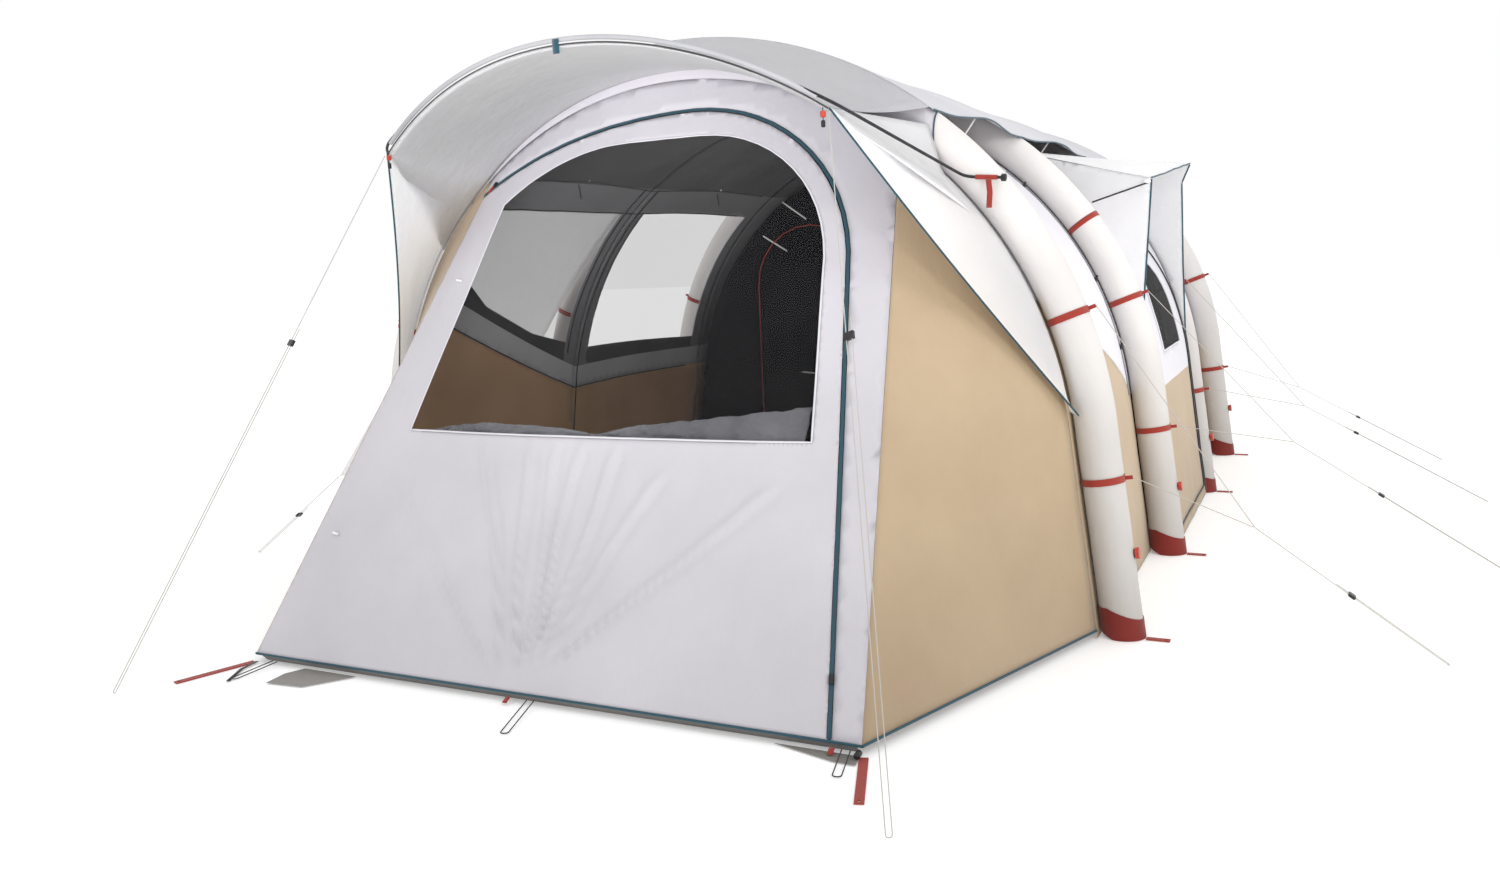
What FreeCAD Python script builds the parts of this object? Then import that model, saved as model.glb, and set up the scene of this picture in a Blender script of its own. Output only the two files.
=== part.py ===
"""Family tunnel tent on four inflatable arch beams.

Frame: millimetres, +Z up, +X to the tent's right seen from the door end, +Y from the door end to the
sleeping end. The origin is on the ground under the middle of the tunnel.

Every panel of cloth is a thin closed solid. The arch that all of them follow is one circle with a leaning
straight leg at each side, and each panel is that arch moved outward or inward by an offset.
"""
import FreeCAD, Part
import math
import os
from FreeCAD import Placement, Rotation, Vector

doc = FreeCAD.newDocument("tunnel_tent")

# ---------------------------------------------------------------- driving dimensions
SIZES = [
    ("foot_half_width", 1720), ("arch_apex", 2208), ("leg_lean", 7.5), ("beam_radius", 75),
    ("front_bay", 1290), ("middle_bay", 1500), ("rear_bay", 1290),
    ("cloth", 3), ("fly_inset", 79), ("cover_rise", 79), ("seam_gap", 0.6),
    ("front_reach", 1340), ("front_hem_half", 1210), ("rear_reach", 880), ("rear_hem_half", 1150),
    ("panel_top_half", 930), ("hem_height", 32), ("sewn_ahead", 80),
    ("tan_height", 735), ("tan_height_front", 1215),
    ("cover_half_width", 1056), ("cover_overhang", 62),
    ("boot_height", 120), ("boot_cloth", 2.2), ("boot_floor", 22),
    ("strap_width", 25), ("strap_thickness", 1.8), ("strap_low", 575), ("strap_high", 1165),
    ("lug_length", 26), ("lug_width", 14), ("lug_thickness", 4),
    ("tab_width", 28), ("tab_thickness", 4), ("tab_reach", 82), ("corner_reach", 285), ("eye_radius", 6),
    ("tab_aside", 20),
    ("valve_height", 300), ("valve_radius", 17), ("valve_length", 9), ("cap_radius", 21), ("cap_length", 14),
    ("hood_tip_x", 918), ("hood_tip_reach", 733), ("hood_tip_height", 1881),
    ("hood_edge_reach", 870), ("hood_edge_height", 2160), ("wing_low_height", 820),
    ("pole_radius", 5.5), ("bracket_height", 1675),
    ("canopy_front_y", -600), ("canopy_rear_y", 640), ("canopy_root_height", 1938), ("door_outset", 28),
    ("awning_top", 1720), ("awning_reach", 2200), ("awning_drop", 400),
    ("bedroom_inset", 190), ("bedroom_front_y", 640), ("bedroom_rear_y", 2085),
    ("rope", 3), ("strand_gap", 20), ("elastic", 4), ("elastic_gap", 26),
    ("runner_length", 24), ("runner_width", 34), ("runner_depth", 10),
]
sheet = doc.addObject("Spreadsheet::Sheet", "sizes")
for row, (alias, value) in enumerate(SIZES, 1):
    sheet.set("A%d" % row, alias)
    sheet.set("B%d" % row, str(value))
    sheet.setAlias("B%d" % row, alias)
doc.recompute()


def size(alias):
    """The value of a driving dimension, as a number."""
    return float(sheet.get(alias))


CLOTH = size("cloth")
GAP = size("seam_gap")
LEAN = math.radians(size("leg_lean"))
FOOT = size("foot_half_width")
ARCH_Z = (size("arch_apex") - FOOT * math.cos(LEAN)) / (1 - math.sin(LEAN))
ARCH_R = size("arch_apex") - ARCH_Z
FLY_OUT = -size("fly_inset")
FLY_IN = FLY_OUT - CLOTH
BEAM_Y = [-(size("front_bay") + size("middle_bay") + size("rear_bay")) / 2]
for bay in ("front_bay", "middle_bay", "rear_bay"):
    BEAM_Y.append(BEAM_Y[-1] + size(bay))
FRONT_Y = BEAM_Y[0] - size("sewn_ahead")
REAR_Y = BEAM_Y[3] + size("sewn_ahead")
FRONT_HEM_Y = BEAM_Y[0] - size("front_reach")
REAR_HEM_Y = BEAM_Y[3] + size("rear_reach")
HEM_Z = size("hem_height")
FAR = 4000.0

subparts = []


def keep(obj, label):
    """Registers an object of the document as a sub-part under its node name."""
    obj.Label = label
    subparts.append(obj)
    return obj


# ---------------------------------------------------------------- the arch and its offsets
def arch_x(height, offset):
    """Half-width of the offset arch at a height."""
    radius = ARCH_R + offset
    if height <= ARCH_Z + radius * math.sin(LEAN):
        return FOOT + offset / math.cos(LEAN) - height * math.tan(LEAN)
    return math.sqrt(radius ** 2 - (height - ARCH_Z) ** 2)


def arch_z(x, offset):
    """Height of the offset arch's round part at a distance from the middle."""
    return ARCH_Z + math.sqrt((ARCH_R + offset) ** 2 - x ** 2)


def arch_point(angle, offset, y=0.0):
    """Point of the round part, with the angle counted from +X."""
    radius = ARCH_R + offset
    return Vector(radius * math.cos(angle), y, ARCH_Z + radius * math.sin(angle))


def arch_run(offset, foot=0.0):
    """Edges of the offset arch in the XZ plane, from the right foot over the top to the left foot."""
    right = Vector(arch_x(foot, offset), 0, foot)
    left = Vector(-right.x, 0, foot)
    turn_right, top, turn_left = (arch_point(a, offset) for a in (LEAN, math.pi / 2, math.pi - LEAN))
    return [Part.makeLine(right, turn_right), Part.Arc(turn_right, top, turn_left).toShape(),
            Part.makeLine(turn_left, left)]


def arch_ring_wire(outer, inner, foot=0.0):
    """Closed outline of the band between two offsets of the arch."""
    outside = arch_run(outer, foot)
    inside = arch_run(inner, foot)
    ends = [Part.makeLine(outside[0].Vertexes[0].Point, inside[0].Vertexes[0].Point),
            Part.makeLine(outside[-1].Vertexes[-1].Point, inside[-1].Vertexes[-1].Point)]
    return Part.Wire(Part.__sortEdges__(outside + inside + ends))


def flat_wire(points):
    """Closed wire of straight edges through points."""
    return Part.makePolygon(list(points) + [points[0]])


# ---------------------------------------------------------------- document objects
def padded_outline(name, wire, direction, expression):
    """Part::Extrusion of a flat outline, with its length bound to the sheet."""
    outline = doc.addObject("Part::Feature", name + "_outline")
    outline.Shape = wire
    solid = doc.addObject("Part::Extrusion", name)
    solid.Base = outline
    solid.DirMode = "Custom"
    solid.Dir = direction
    solid.Solid = True
    solid.setExpression("LengthFwd", expression)
    return solid


def boolean(kind, name, base, tool):
    """Part::Cut or Part::Common of two document objects."""
    result = doc.addObject("Part::" + kind, name)
    result.Base = base
    result.Tool = tool
    return result


def compound(name, members):
    group = doc.addObject("Part::Compound", name)
    group.Links = members
    return group


def solid_feature(name, shape):
    """Part::Feature for a shape that neither a body nor a primitive makes."""
    feature = doc.addObject("Part::Feature", name)
    feature.Shape = shape
    return feature


def cylinder(name, radius, length, base, direction):
    """Part::Cylinder from a base point along a direction; radius and length are expressions."""
    bar = doc.addObject("Part::Cylinder", name)
    bar.setExpression("Radius", radius)
    bar.setExpression("Height", length)
    bar.Placement = Placement(base, Rotation(Vector(0, 0, 1), direction))
    return bar


def block(name, length, width, height, placement):
    """Part::Box with its three sizes as expressions."""
    box = doc.addObject("Part::Box", name)
    box.setExpression("Length", length)
    box.setExpression("Width", width)
    box.setExpression("Height", height)
    box.Placement = placement
    return box


def plain_box(name, low, high):
    """Part::Box between two corners, used only to cut with."""
    box = doc.addObject("Part::Box", name)
    box.Length, box.Width, box.Height = high - low
    box.Placement = Placement(low, Rotation())
    return box


def prism_y(wire, y_from=-FAR, y_to=FAR):
    """Solid that an XZ outline sweeps along Y."""
    face = Part.Face(wire.translated(Vector(0, y_from, 0)))
    return face.extrude(Vector(0, y_to - y_from, 0))


def prism_x(points, x_from, x_to):
    """Solid that a YZ outline, given as (y, z) pairs, sweeps along X."""
    face = Part.Face(flat_wire([Vector(x_from, y, z) for y, z in points]))
    return face.extrude(Vector(x_to - x_from, 0, 0))


def ruled_cloth(lower, upper, push):
    """Cloth stretched straight between two edges, with its thickness given by a push."""
    return Part.makeRuledSurface(lower, upper).extrude(push)


# ---------------------------------------------------------------- inflatable beams
def leg_frame(side):
    """Foot point and direction of a beam's straight leg; side is 1 for right and -1 for left."""
    return Vector(side * FOOT, 0, 0), Vector(-side * math.sin(LEAN), 0, math.cos(LEAN))


LEG_LENGTH = (ARCH_Z + ARCH_R * math.sin(LEAN)) / math.cos(LEAN)


def air_beam(number):
    """One arch tube: a torus segment with a straight tube at each end."""
    name = "air_beam_%d" % number
    pieces = []
    for side in (1, -1):
        foot, up = leg_frame(side)
        leg = cylinder("%s_leg_%d" % (name, side + 2), "sizes.beam_radius",
                       "%f - sizes.boot_floor - 0.5" % LEG_LENGTH, foot + up * (size("boot_floor") + 0.5), up)
        pieces.append(leg)
    crown = doc.addObject("Part::Torus", name + "_crown")
    crown.Radius1 = ARCH_R
    crown.setExpression("Radius2", "sizes.beam_radius")
    crown.setExpression("Angle3", "180 - 2 * sizes.leg_lean")
    crown.Placement = Placement(Vector(0, 0, ARCH_Z), Rotation(Vector(1, 0, 0), 90)
                                * Rotation(Vector(0, 0, 1), size("leg_lean")))
    beam = doc.addObject("Part::MultiFuse", name)
    beam.Shapes = pieces + [crown]
    beam.Placement = Placement(Vector(0, BEAM_Y[number - 1], 0), Rotation())
    return keep(beam, name)


def tube_frame(height, side, offset):
    """Point on the beam's line moved by an offset, and the tube's direction there."""
    if height <= ARCH_Z + ARCH_R * math.sin(LEAN):
        out = Vector(side * math.cos(LEAN), 0, math.sin(LEAN))
    else:
        angle = math.asin((height - ARCH_Z) / ARCH_R)
        out = Vector(side * math.cos(angle), 0, math.sin(angle))
    centre = Vector(side * arch_x(height, 0), 0, height)
    along = Vector(-side * out.z, 0, side * out.x)
    return centre + out * offset, along, out


def beam_boots():
    """Cloth cups that hold the beams' feet."""
    boots = []
    for number, y in enumerate(BEAM_Y, 1):
        for side in (1, -1):
            name = "boot_%d_%d" % (number, side + 2)
            foot, up = leg_frame(side)
            foot = foot + Vector(0, y, 0)
            outer = cylinder(name + "_outer", "sizes.beam_radius + 0.6 + sizes.boot_cloth",
                             "sizes.boot_height + 40", foot - up * 40, up)
            inner = cylinder(name + "_inner", "sizes.beam_radius + 0.6", "sizes.boot_height * 2",
                             foot + up * size("boot_floor"), up)
            cup = boolean("Cut", name + "_cup", outer, inner)
            trim = block(name + "_trim", "400", "400", "100",
                         Placement(foot + Vector(-200, -200, 0), Rotation()))
            tilt = Rotation(Vector(0, 1, 0), side * 20)
            trim.Placement = Placement(foot + tilt.multVec(Vector(-200, -200, -10)), tilt)
            ground = block(name + "_ground", "400", "400", "300",
                           Placement(foot + Vector(-200, -200, 0), Rotation()))
            slanted = boolean("Common", name + "_slanted", cup, trim)
            boots.append(boolean("Common", name, slanted, ground))
    return keep(compound("beam_boots", boots), "beam_boots")


def peg_tab(name, root, outward, reach):
    """Webbing tab that lies on the ground, with a round eye for a peg; reach is a size of the sheet."""
    turn = Rotation(Vector(1, 0, 0), outward)
    strip = block(name + "_strip", "sizes." + reach, "sizes.tab_width", "sizes.tab_thickness",
                  Placement(root - turn.multVec(Vector(0, size("tab_width") / 2, 0)), turn))
    eye_at = root + turn.multVec(Vector(size(reach) - size("tab_width") / 2, 0, -1))
    eye = cylinder(name + "_eye", "sizes.eye_radius", "sizes.tab_thickness + 2", eye_at, Vector(0, 0, 1))
    return boolean("Cut", name, strip, eye)


def peg_tabs():
    """Eight tabs at the beam boots, clear of the ropes above, and two longer ones at the hem's corners."""
    tabs = []
    for number, y in enumerate(BEAM_Y, 1):
        for side in (1, -1):
            boot_edge = FOOT + size("beam_radius") + size("boot_cloth") + 4
            root = Vector(side * boot_edge, y - size("tab_aside"), 0)
            tabs.append(peg_tab("peg_tab_%d_%d" % (number, side + 2), root, Vector(side, 0, 0), "tab_reach"))
    for side in (1, -1):
        corner = Vector(side * (size("front_hem_half") + 8), FRONT_HEM_Y - 8, 0)
        tabs.append(peg_tab("corner_tab_%d" % (side + 2), corner, Vector(side * 0.33, -1, 0), "corner_reach"))
    return keep(compound("peg_tabs", tabs), "peg_tabs")


def beam_straps():
    """Webbing rings that tie each beam to the fly, with a lug on the outer side, and the pole brackets."""
    straps = []
    for number, y in enumerate(BEAM_Y, 1):
        for side in (1, -1):
            for level in ("strap_low", "strap_high"):
                name = "strap_%d_%d_%s" % (number, side + 2, level)
                centre, along, out = tube_frame(size(level), side, 0)
                base = centre + Vector(0, y, 0) - along * (size("strap_width") / 2)
                ring = cylinder(name + "_ring", "sizes.beam_radius + 0.5 + sizes.strap_thickness",
                                "sizes.strap_width", base, along)
                bore = cylinder(name + "_bore", "sizes.beam_radius + 0.5", "sizes.strap_width", base, along)
                straps.append(boolean("Cut", name, ring, bore))
                lug_turn = Rotation(out, Vector(0, 1, 0), along, "XYZ")
                reach = size("beam_radius") + 0.8 + size("strap_thickness")
                lug_at = centre + Vector(0, y, 0) + out * reach + lug_turn.multVec(
                    Vector(0, -size("lug_thickness") / 2, -size("lug_width") / 2))
                straps.append(block(name + "_lug", "sizes.lug_length", "sizes.lug_thickness",
                                    "sizes.lug_width", Placement(lug_at, lug_turn)))
    return keep(compound("beam_straps", straps), "beam_straps")


def valve_frame(number):
    """Where a beam's inflation valve sits: outer face of the right leg."""
    centre, along, out = tube_frame(size("valve_height"), 1, size("beam_radius"))
    return centre + Vector(0, BEAM_Y[number - 1], 0), out


def valves():
    """Valve rings, one per beam, and a screw cap over each as its own sub-part."""
    rings = []
    for number in range(1, 5):
        seat, out = valve_frame(number)
        rings.append(cylinder("valve_%d" % number, "sizes.valve_radius", "sizes.valve_length",
                              seat + out * 0.6, out))
        cap = cylinder("cap_shell_%d" % number, "sizes.cap_radius", "sizes.cap_length",
                       seat + out * (size("valve_length") - 5), out)
        hollow = cylinder("cap_hollow_%d" % number, "sizes.valve_radius + 0.5",
                          "sizes.valve_length - 1", seat + out * (size("valve_length") - 6), out)
        keep(boolean("Cut", "cap_cup_%d" % number, cap, hollow), "valve_cap_%d" % number)
    return keep(compound("valve_rings", rings), "valve_rings")


# ---------------------------------------------------------------- fly over the tunnel
def tan_line(y):
    """Height of the seam between the tan skirt and the white fly."""
    low = size("tan_height")
    if y >= BEAM_Y[1]:
        return low
    return low + (size("tan_height_front") - low) * (BEAM_Y[1] - y) / size("front_bay")


def bay_band(number, outer, inner):
    """Full arch band over one bay, from the ground on the right to the ground on the left."""
    name = ("front", "middle", "rear")[number]
    sewn = "" if number == 1 else " + sizes.sewn_ahead - 5"
    band = padded_outline("band_%s" % name, arch_ring_wire(outer, inner), Vector(0, 1, 0),
                          "sizes.%s_bay - sizes.seam_gap%s" % (name, sewn))
    start = BEAM_Y[number] + GAP / 2 - (size("sewn_ahead") - 5 if number == 0 else 0)
    band.Placement = Placement(Vector(0, start, 0), Rotation())
    return band


def above_tan(number, rise):
    """Space above the tan seam over one bay, raised by half a seam gap."""
    y0, y1 = BEAM_Y[number] - 100, BEAM_Y[number + 1] + (0 if number == 0 else 100)
    return prism_x([(y0, tan_line(y0) + rise), (y1, tan_line(y1) + rise), (y1, FAR), (y0, FAR)], -FAR, FAR)


def below_tan(number, side, drop):
    """Space below the tan seam over one bay, on one side of the tent."""
    y0, y1 = BEAM_Y[number] - 100, BEAM_Y[number + 1] + (0 if number == 0 else 100)
    return prism_x([(y0, -50), (y1, -50), (y1, tan_line(y1) - drop), (y0, tan_line(y0) - drop)],
                   side * 500, side * FAR)


DOOR_BAY_HALF = size("middle_bay") / 2 - size("beam_radius") - 12
DOOR_BAY_TOP = 1600.0
LEFT_WINDOWS = {
    0: [(BEAM_Y[0] + 110, 1410), (BEAM_Y[0] + 420, 1230), (BEAM_Y[1] - 400, 1060), (BEAM_Y[1] - 110, 1000),
        (BEAM_Y[1] - 110, 1690), (BEAM_Y[0] + 110, 1690)],
    1: [(BEAM_Y[1] + 130, 955), (BEAM_Y[2] - 120, 925), (BEAM_Y[2] - 120, 1690), (BEAM_Y[1] + 130, 1690)],
}


def fly_panels():
    """White roof panels of the three bays, with two windows in the left side and the side door's bay open."""
    for number, name in enumerate(("front", "middle", "rear")):
        band = bay_band(number, FLY_OUT, FLY_IN)
        upper = solid_feature("above_tan_%s" % name, above_tan(number, GAP / 2))
        panel = boolean("Common", "fly_%s_whole" % name, band, upper)
        if number in LEFT_WINDOWS:
            hole = solid_feature("window_hole_%s" % name, prism_x(LEFT_WINDOWS[number], -FAR, -600))
            panel = boolean("Cut", "fly_%s_windowed" % name, panel, hole)
        if number == 1:
            doorway = plain_box("door_bay_hole", Vector(600, -DOOR_BAY_HALF, -50),
                                Vector(FAR, DOOR_BAY_HALF, DOOR_BAY_TOP))
            panel = boolean("Cut", "fly_middle_open", panel, doorway)
        keep(panel, "fly_%s" % name)


def left_windows():
    """Clear panes in the fly's left side."""
    panes = []
    for number, outline in LEFT_WINDOWS.items():
        wire = flat_wire([Vector(-FAR, y, z) for y, z in outline]).makeOffset2D(-1.0)
        space = solid_feature("pane_space_%d" % number, Part.Face(wire).extrude(Vector(FAR - 600, 0, 0)))
        band = bay_band(number, FLY_OUT - 0.5, FLY_IN + 0.5)
        panes.append(boolean("Common", "pane_%d" % number, band, space))
    return keep(compound("left_windows", panes), "left_windows")


def skirts():
    """Tan lower walls: three panels on the left and two on the right."""
    for side, label in ((-1, "skirts_left"), (1, "skirts_right")):
        panels = []
        for number, name in enumerate(("front", "middle", "rear")):
            if side == 1 and number == 1:
                continue
            band = bay_band(number, FLY_OUT, FLY_IN)
            lower = solid_feature("below_tan_%s_%d" % (name, side + 2), below_tan(number, side, GAP / 2))
            panels.append(boolean("Common", "skirt_%s_%d" % (name, side + 2), band, lower))
        keep(compound(label, panels), label)


def roof_cover():
    """Outer roof sheet that lies over the beams' tops and stands off the fly between them."""
    y0 = BEAM_Y[0] - size("cover_overhang")
    rise = size("cover_rise")
    band = padded_outline("cover_band", arch_ring_wire(rise + CLOTH, rise), Vector(0, 1, 0),
                          "%f + 2 * sizes.cover_overhang" % (BEAM_Y[3] - BEAM_Y[0]))
    band.Placement = Placement(Vector(0, y0, 0), Rotation())
    width = size("cover_half_width")
    middle = plain_box("cover_middle", Vector(-width, -FAR, 0), Vector(width, FAR, FAR))
    return keep(boolean("Common", "roof_cover_sheet", band, middle), "roof_cover")


STAY_OVER_CANOPY = 14.0  # offset at which the stay over the side canopy's roof starts


def vent_struts():
    """Short stays that hold the cover's side edges up in the middle of each vent."""
    stays = []
    for number in (0, 1):
        middle = (BEAM_Y[number] + BEAM_Y[number + 1]) / 2
        for side in (1, -1):
            x = size("cover_half_width") - 45
            angle = math.acos(x / (ARCH_R + size("cover_rise")))
            out = Vector(side * math.cos(angle), 0, math.sin(angle))
            over_canopy = number == 1 and side == 1
            start = STAY_OVER_CANOPY if over_canopy else FLY_OUT + 1
            foot = Vector(0, middle, ARCH_Z) + out * (ARCH_R + start)
            stays.append(cylinder("vent_stay_%d_%d" % (number, side + 2), "4",
                                  "sizes.cover_rise - 1 - %f" % start, foot, out))
    return keep(compound("vent_struts", stays), "vent_struts")


# ---------------------------------------------------------------- sloping ends
def arch_edge(y, offset, x_from, x_to):
    """Arc of the offset arch in the plane y, between two distances from the middle."""
    middle = (x_from + x_to) / 2
    points = [Vector(x, y, arch_z(x, offset)) for x in (x_from, middle, x_to)]
    return Part.Arc(*points).toShape()


def side_arch_edge(y, offset, side, x_top, foot):
    """Smooth edge from the foot of the arch up one side to a distance from the middle."""
    top = arch_z(x_top, offset)
    heights = [foot + (top - foot) * k / 6 for k in range(7)]
    curve = Part.BSplineCurve()
    curve.interpolate([Vector(side * arch_x(z, offset), y, z) for z in heights])
    return curve.toShape()


def end_cloth(y_arch, y_hem, hem_half, top_half, offset, foot, thickness):
    """Middle panel of a sloping end: straight hem on the ground, arch at the top."""
    hem = Part.makeLine(Vector(-hem_half, y_hem, foot), Vector(hem_half, y_hem, foot))
    top = arch_edge(y_arch, offset, -top_half, top_half)
    inward = 1 if y_hem < y_arch else -1
    return ruled_cloth(hem, top, Vector(0, inward * thickness, 0))


def end_side_cloth(y_arch, y_hem, hem_half, top_half, offset, foot, side, thickness):
    """Side panel of a sloping end, from the middle panel's edge back to the arch."""
    gap = GAP + 1 + thickness
    seam_low = Vector(side * (hem_half + gap), y_hem, foot)
    seam_top = Vector(side * (top_half + gap), y_arch, arch_z(top_half, offset))
    seam = Part.makeLine(seam_low, seam_low + (seam_top - seam_low) * 0.985)
    arch = side_arch_edge(y_arch, offset, side, top_half + 25, foot)
    return ruled_cloth(seam, arch, Vector(-side * thickness, 0, 0))


# The front end's outlines are drawn in the XZ plane and cut through the sloping cloth along Y.
CROWN = Vector(120, 0, 1998)
LEFT_SHOULDER = Vector(-930, 0, 1735)
RIGHT_SHOULDER = Vector(845, 0, 1430)
ZIP_FOOT = Vector(1112, 0, 20)
ZIP_WIDTH = 7.0
WINDOW_SILL = 815.0


def crown_arc(crown, end):
    """Arc that leaves a crown point level and ends at a lower point."""
    across, down = end.x - crown.x, crown.z - end.z
    radius = (across ** 2 + down ** 2) / (2 * down)
    half_turn = math.asin(across / radius) / 2
    middle = Vector(crown.x + radius * math.sin(half_turn), 0, crown.z - radius * (1 - math.cos(half_turn)))
    return Part.Arc(crown, middle, end).toShape()


def door_outline():
    """Front door's outline: past the left seam, over the arch of the zip and down its right side."""
    past_left = Vector(-FAR / 2, 0, LEFT_SHOULDER.z)
    corner = Vector(-FAR / 2, 0, -50)
    foot = ZIP_FOOT + (ZIP_FOOT - RIGHT_SHOULDER) * 0.05
    return Part.Wire(Part.__sortEdges__([
        crown_arc(CROWN, LEFT_SHOULDER), crown_arc(CROWN, RIGHT_SHOULDER),
        Part.makeLine(RIGHT_SHOULDER, foot), Part.makeLine(foot, corner),
        Part.makeLine(corner, past_left), Part.makeLine(past_left, LEFT_SHOULDER)]))


def window_outline():
    """Front window: level sill, steep sides and a rounded top."""
    top_left, top_right = Vector(-150, 0, 1892), Vector(180, 0, 1892)
    left, right = Vector(-747, 0, 1683), Vector(775, 0, 1350)
    sill_left, sill_right = Vector(-835, 0, WINDOW_SILL), Vector(862, 0, WINDOW_SILL)
    return Part.Wire(Part.__sortEdges__([
        Part.makeLine(top_left, top_right), crown_arc(top_right, right), Part.makeLine(right, sill_right),
        Part.makeLine(sill_right, sill_left), Part.makeLine(sill_left, left), crown_arc(top_left, left)]))


def front_end():
    """Door, window, frame and zip of the sloping front, and its tan side panels."""
    shared = (FRONT_Y, FRONT_HEM_Y, size("front_hem_half"), size("panel_top_half"), FLY_OUT, HEM_Z)
    cloth = solid_feature("front_cloth", end_cloth(*shared, CLOTH + 0.7))
    thin = solid_feature("front_thin", end_cloth(*shared, CLOTH - 0.6))
    doorway = solid_feature("doorway", prism_y(door_outline().makeOffset2D(ZIP_WIDTH + GAP)))
    leaf = solid_feature("door_leaf_space", prism_y(door_outline().makeOffset2D(-ZIP_WIDTH - 3)))
    tape = solid_feature("zip_space", prism_y(door_outline().makeOffset2D(ZIP_WIDTH)))
    tape_inner = solid_feature("zip_inner_space", prism_y(door_outline()))
    window = solid_feature("window_space", prism_y(window_outline()))
    pane = solid_feature("pane_space", prism_y(window_outline().makeOffset2D(-1.5)))
    keep(boolean("Cut", "front_frame_cloth", cloth, doorway), "front_frame")
    door = boolean("Common", "front_door_whole", cloth, leaf)
    keep(boolean("Cut", "front_door_leaf", door, window), "front_door")
    keep(boolean("Common", "front_window_pane", thin, pane), "front_window")
    ribbon = boolean("Common", "front_zip_ribbon", cloth, tape)
    keep(boolean("Cut", "front_zip_tape", ribbon, tape_inner), "front_zip")
    sides = [solid_feature("front_side_%d" % (side + 2), end_side_cloth(*shared, side, CLOTH + 0.7))
             for side in (1, -1)]
    keep(compound("front_side_panels", sides), "front_side_panels")


def front_surface_y(x, z):
    """Y of the front cloth's outer face at a point of the XZ plane."""
    share_top = size("panel_top_half") / size("front_hem_half")
    hem_x = x
    for _ in range(40):
        rise = (z - HEM_Z) / (arch_z(share_top * hem_x, FLY_OUT) - HEM_Z)
        hem_x = x / (1 - rise + rise * share_top)
    return FRONT_HEM_Y + (FRONT_Y - FRONT_HEM_Y) * rise


def front_zip_slider():
    """Slider with its pull, near the foot of the zip's right side."""
    up = (RIGHT_SHOULDER - ZIP_FOOT).normalize()
    low, high = ZIP_FOOT + up * 150, ZIP_FOOT + up * 1350
    for point in (low, high):
        point.y = front_surface_y(point.x, point.z)
    along = (high - low).normalize()
    out = Vector(0, -1, 0.7)
    out = (out - along * out.dot(along)).normalize()
    turn = Rotation(along, out.cross(along), out, "ZYX")
    corner = low + out * 2.5 - turn.multVec(Vector(0, 7, 0))
    middle = low + (high - low) * 0.5
    print("zip travel %.0f along %s, bow of the cloth %.1f"
          % ((high - low).Length, along, middle.y - front_surface_y(middle.x, middle.z)))
    return keep(block("slider_body", "30", "14", "7", Placement(corner, turn)), "front_zip_slider")


def mud_flap():
    """Ground-level strip sewn under the front hem."""
    y = FRONT_HEM_Y
    strip = prism_x([(y + 1, HEM_Z - 1), (y + 4.5, HEM_Z - 1), (y + 34, 0), (y + 30.5, 0)],
                    -size("front_hem_half") + 20, size("front_hem_half") - 20)
    return keep(solid_feature("mud_flap_strip", strip), "mud_flap")


def rear_end():
    """Sloping rear panel and its two side panels."""
    shared = (REAR_Y, REAR_HEM_Y, size("rear_hem_half"), size("panel_top_half"), FLY_OUT, 4.0)
    panels = [solid_feature("rear_middle", end_cloth(*shared, CLOTH + 0.7))]
    panels += [solid_feature("rear_side_%d" % (side + 2), end_side_cloth(*shared, side, CLOTH + 0.7))
               for side in (1, -1)]
    return keep(compound("rear_panels", panels), "rear_panels")


# ---------------------------------------------------------------- hood over the front door
WING_ROOT_OFFSET = -40.0


def wing_root_offset(z):
    """The wing's root runs inside the beam's line low down and climbs over the beam near the top."""
    return WING_ROOT_OFFSET + 70 * min(1.0, max(0.0, (z - 1700) / 170))


def hood_edge_point(x):
    """Point of the hood's free front edge between its two tips."""
    tip_x, tip_z = size("hood_tip_x"), size("hood_tip_height")
    drop = size("hood_edge_height") - tip_z
    radius = (tip_x ** 2 + drop ** 2) / (2 * drop)
    z = size("hood_edge_height") - radius + math.sqrt(radius ** 2 - x ** 2)
    share = (x / tip_x) ** 2
    reach = size("hood_edge_reach") + (size("hood_tip_reach") - size("hood_edge_reach")) * share
    return Vector(x, BEAM_Y[0] - reach, z)


def spline_edge(points):
    curve = Part.BSplineCurve()
    curve.interpolate(points)
    return curve.toShape()


def hood():
    """Roof of the hood and its two side wings."""
    tip_x = size("hood_tip_x")
    root_x = 1040.0
    cover_front = BEAM_Y[0] - size("cover_overhang") - 3
    front = spline_edge([hood_edge_point(tip_x * k / 4) for k in range(-4, 5)])
    rise = size("cover_rise")
    root_points = [Vector(root_x * k / 4, cover_front, arch_z(root_x * k / 4, rise)) for k in range(-4, 5)]
    roof = ruled_cloth(front, spline_edge(root_points), Vector(0, 0, CLOTH))
    panels = [solid_feature("hood_roof", roof)]
    for side in (1, -1):
        tip = hood_edge_point(tip_x)
        tip.x *= side
        low_z = size("wing_low_height")
        low = Vector(side * (arch_x(low_z, WING_ROOT_OFFSET) + 4), FRONT_Y - 14, low_z)
        edge = Part.makeLine(tip + Vector(side * 4, 0, -3), low)
        heights = [low_z + 12 + (1870 - low_z - 12) * k / 6 for k in range(6, -1, -1)]
        root = spline_edge([Vector(side * arch_x(z, wing_root_offset(z)), FRONT_Y - 3, z) for z in heights])
        wing = ruled_cloth(edge, root, Vector(side * CLOTH, 0, 0))
        panels.append(solid_feature("hood_wing_%d" % (side + 2), wing))
    return keep(compound("hood", panels), "hood")


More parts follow.
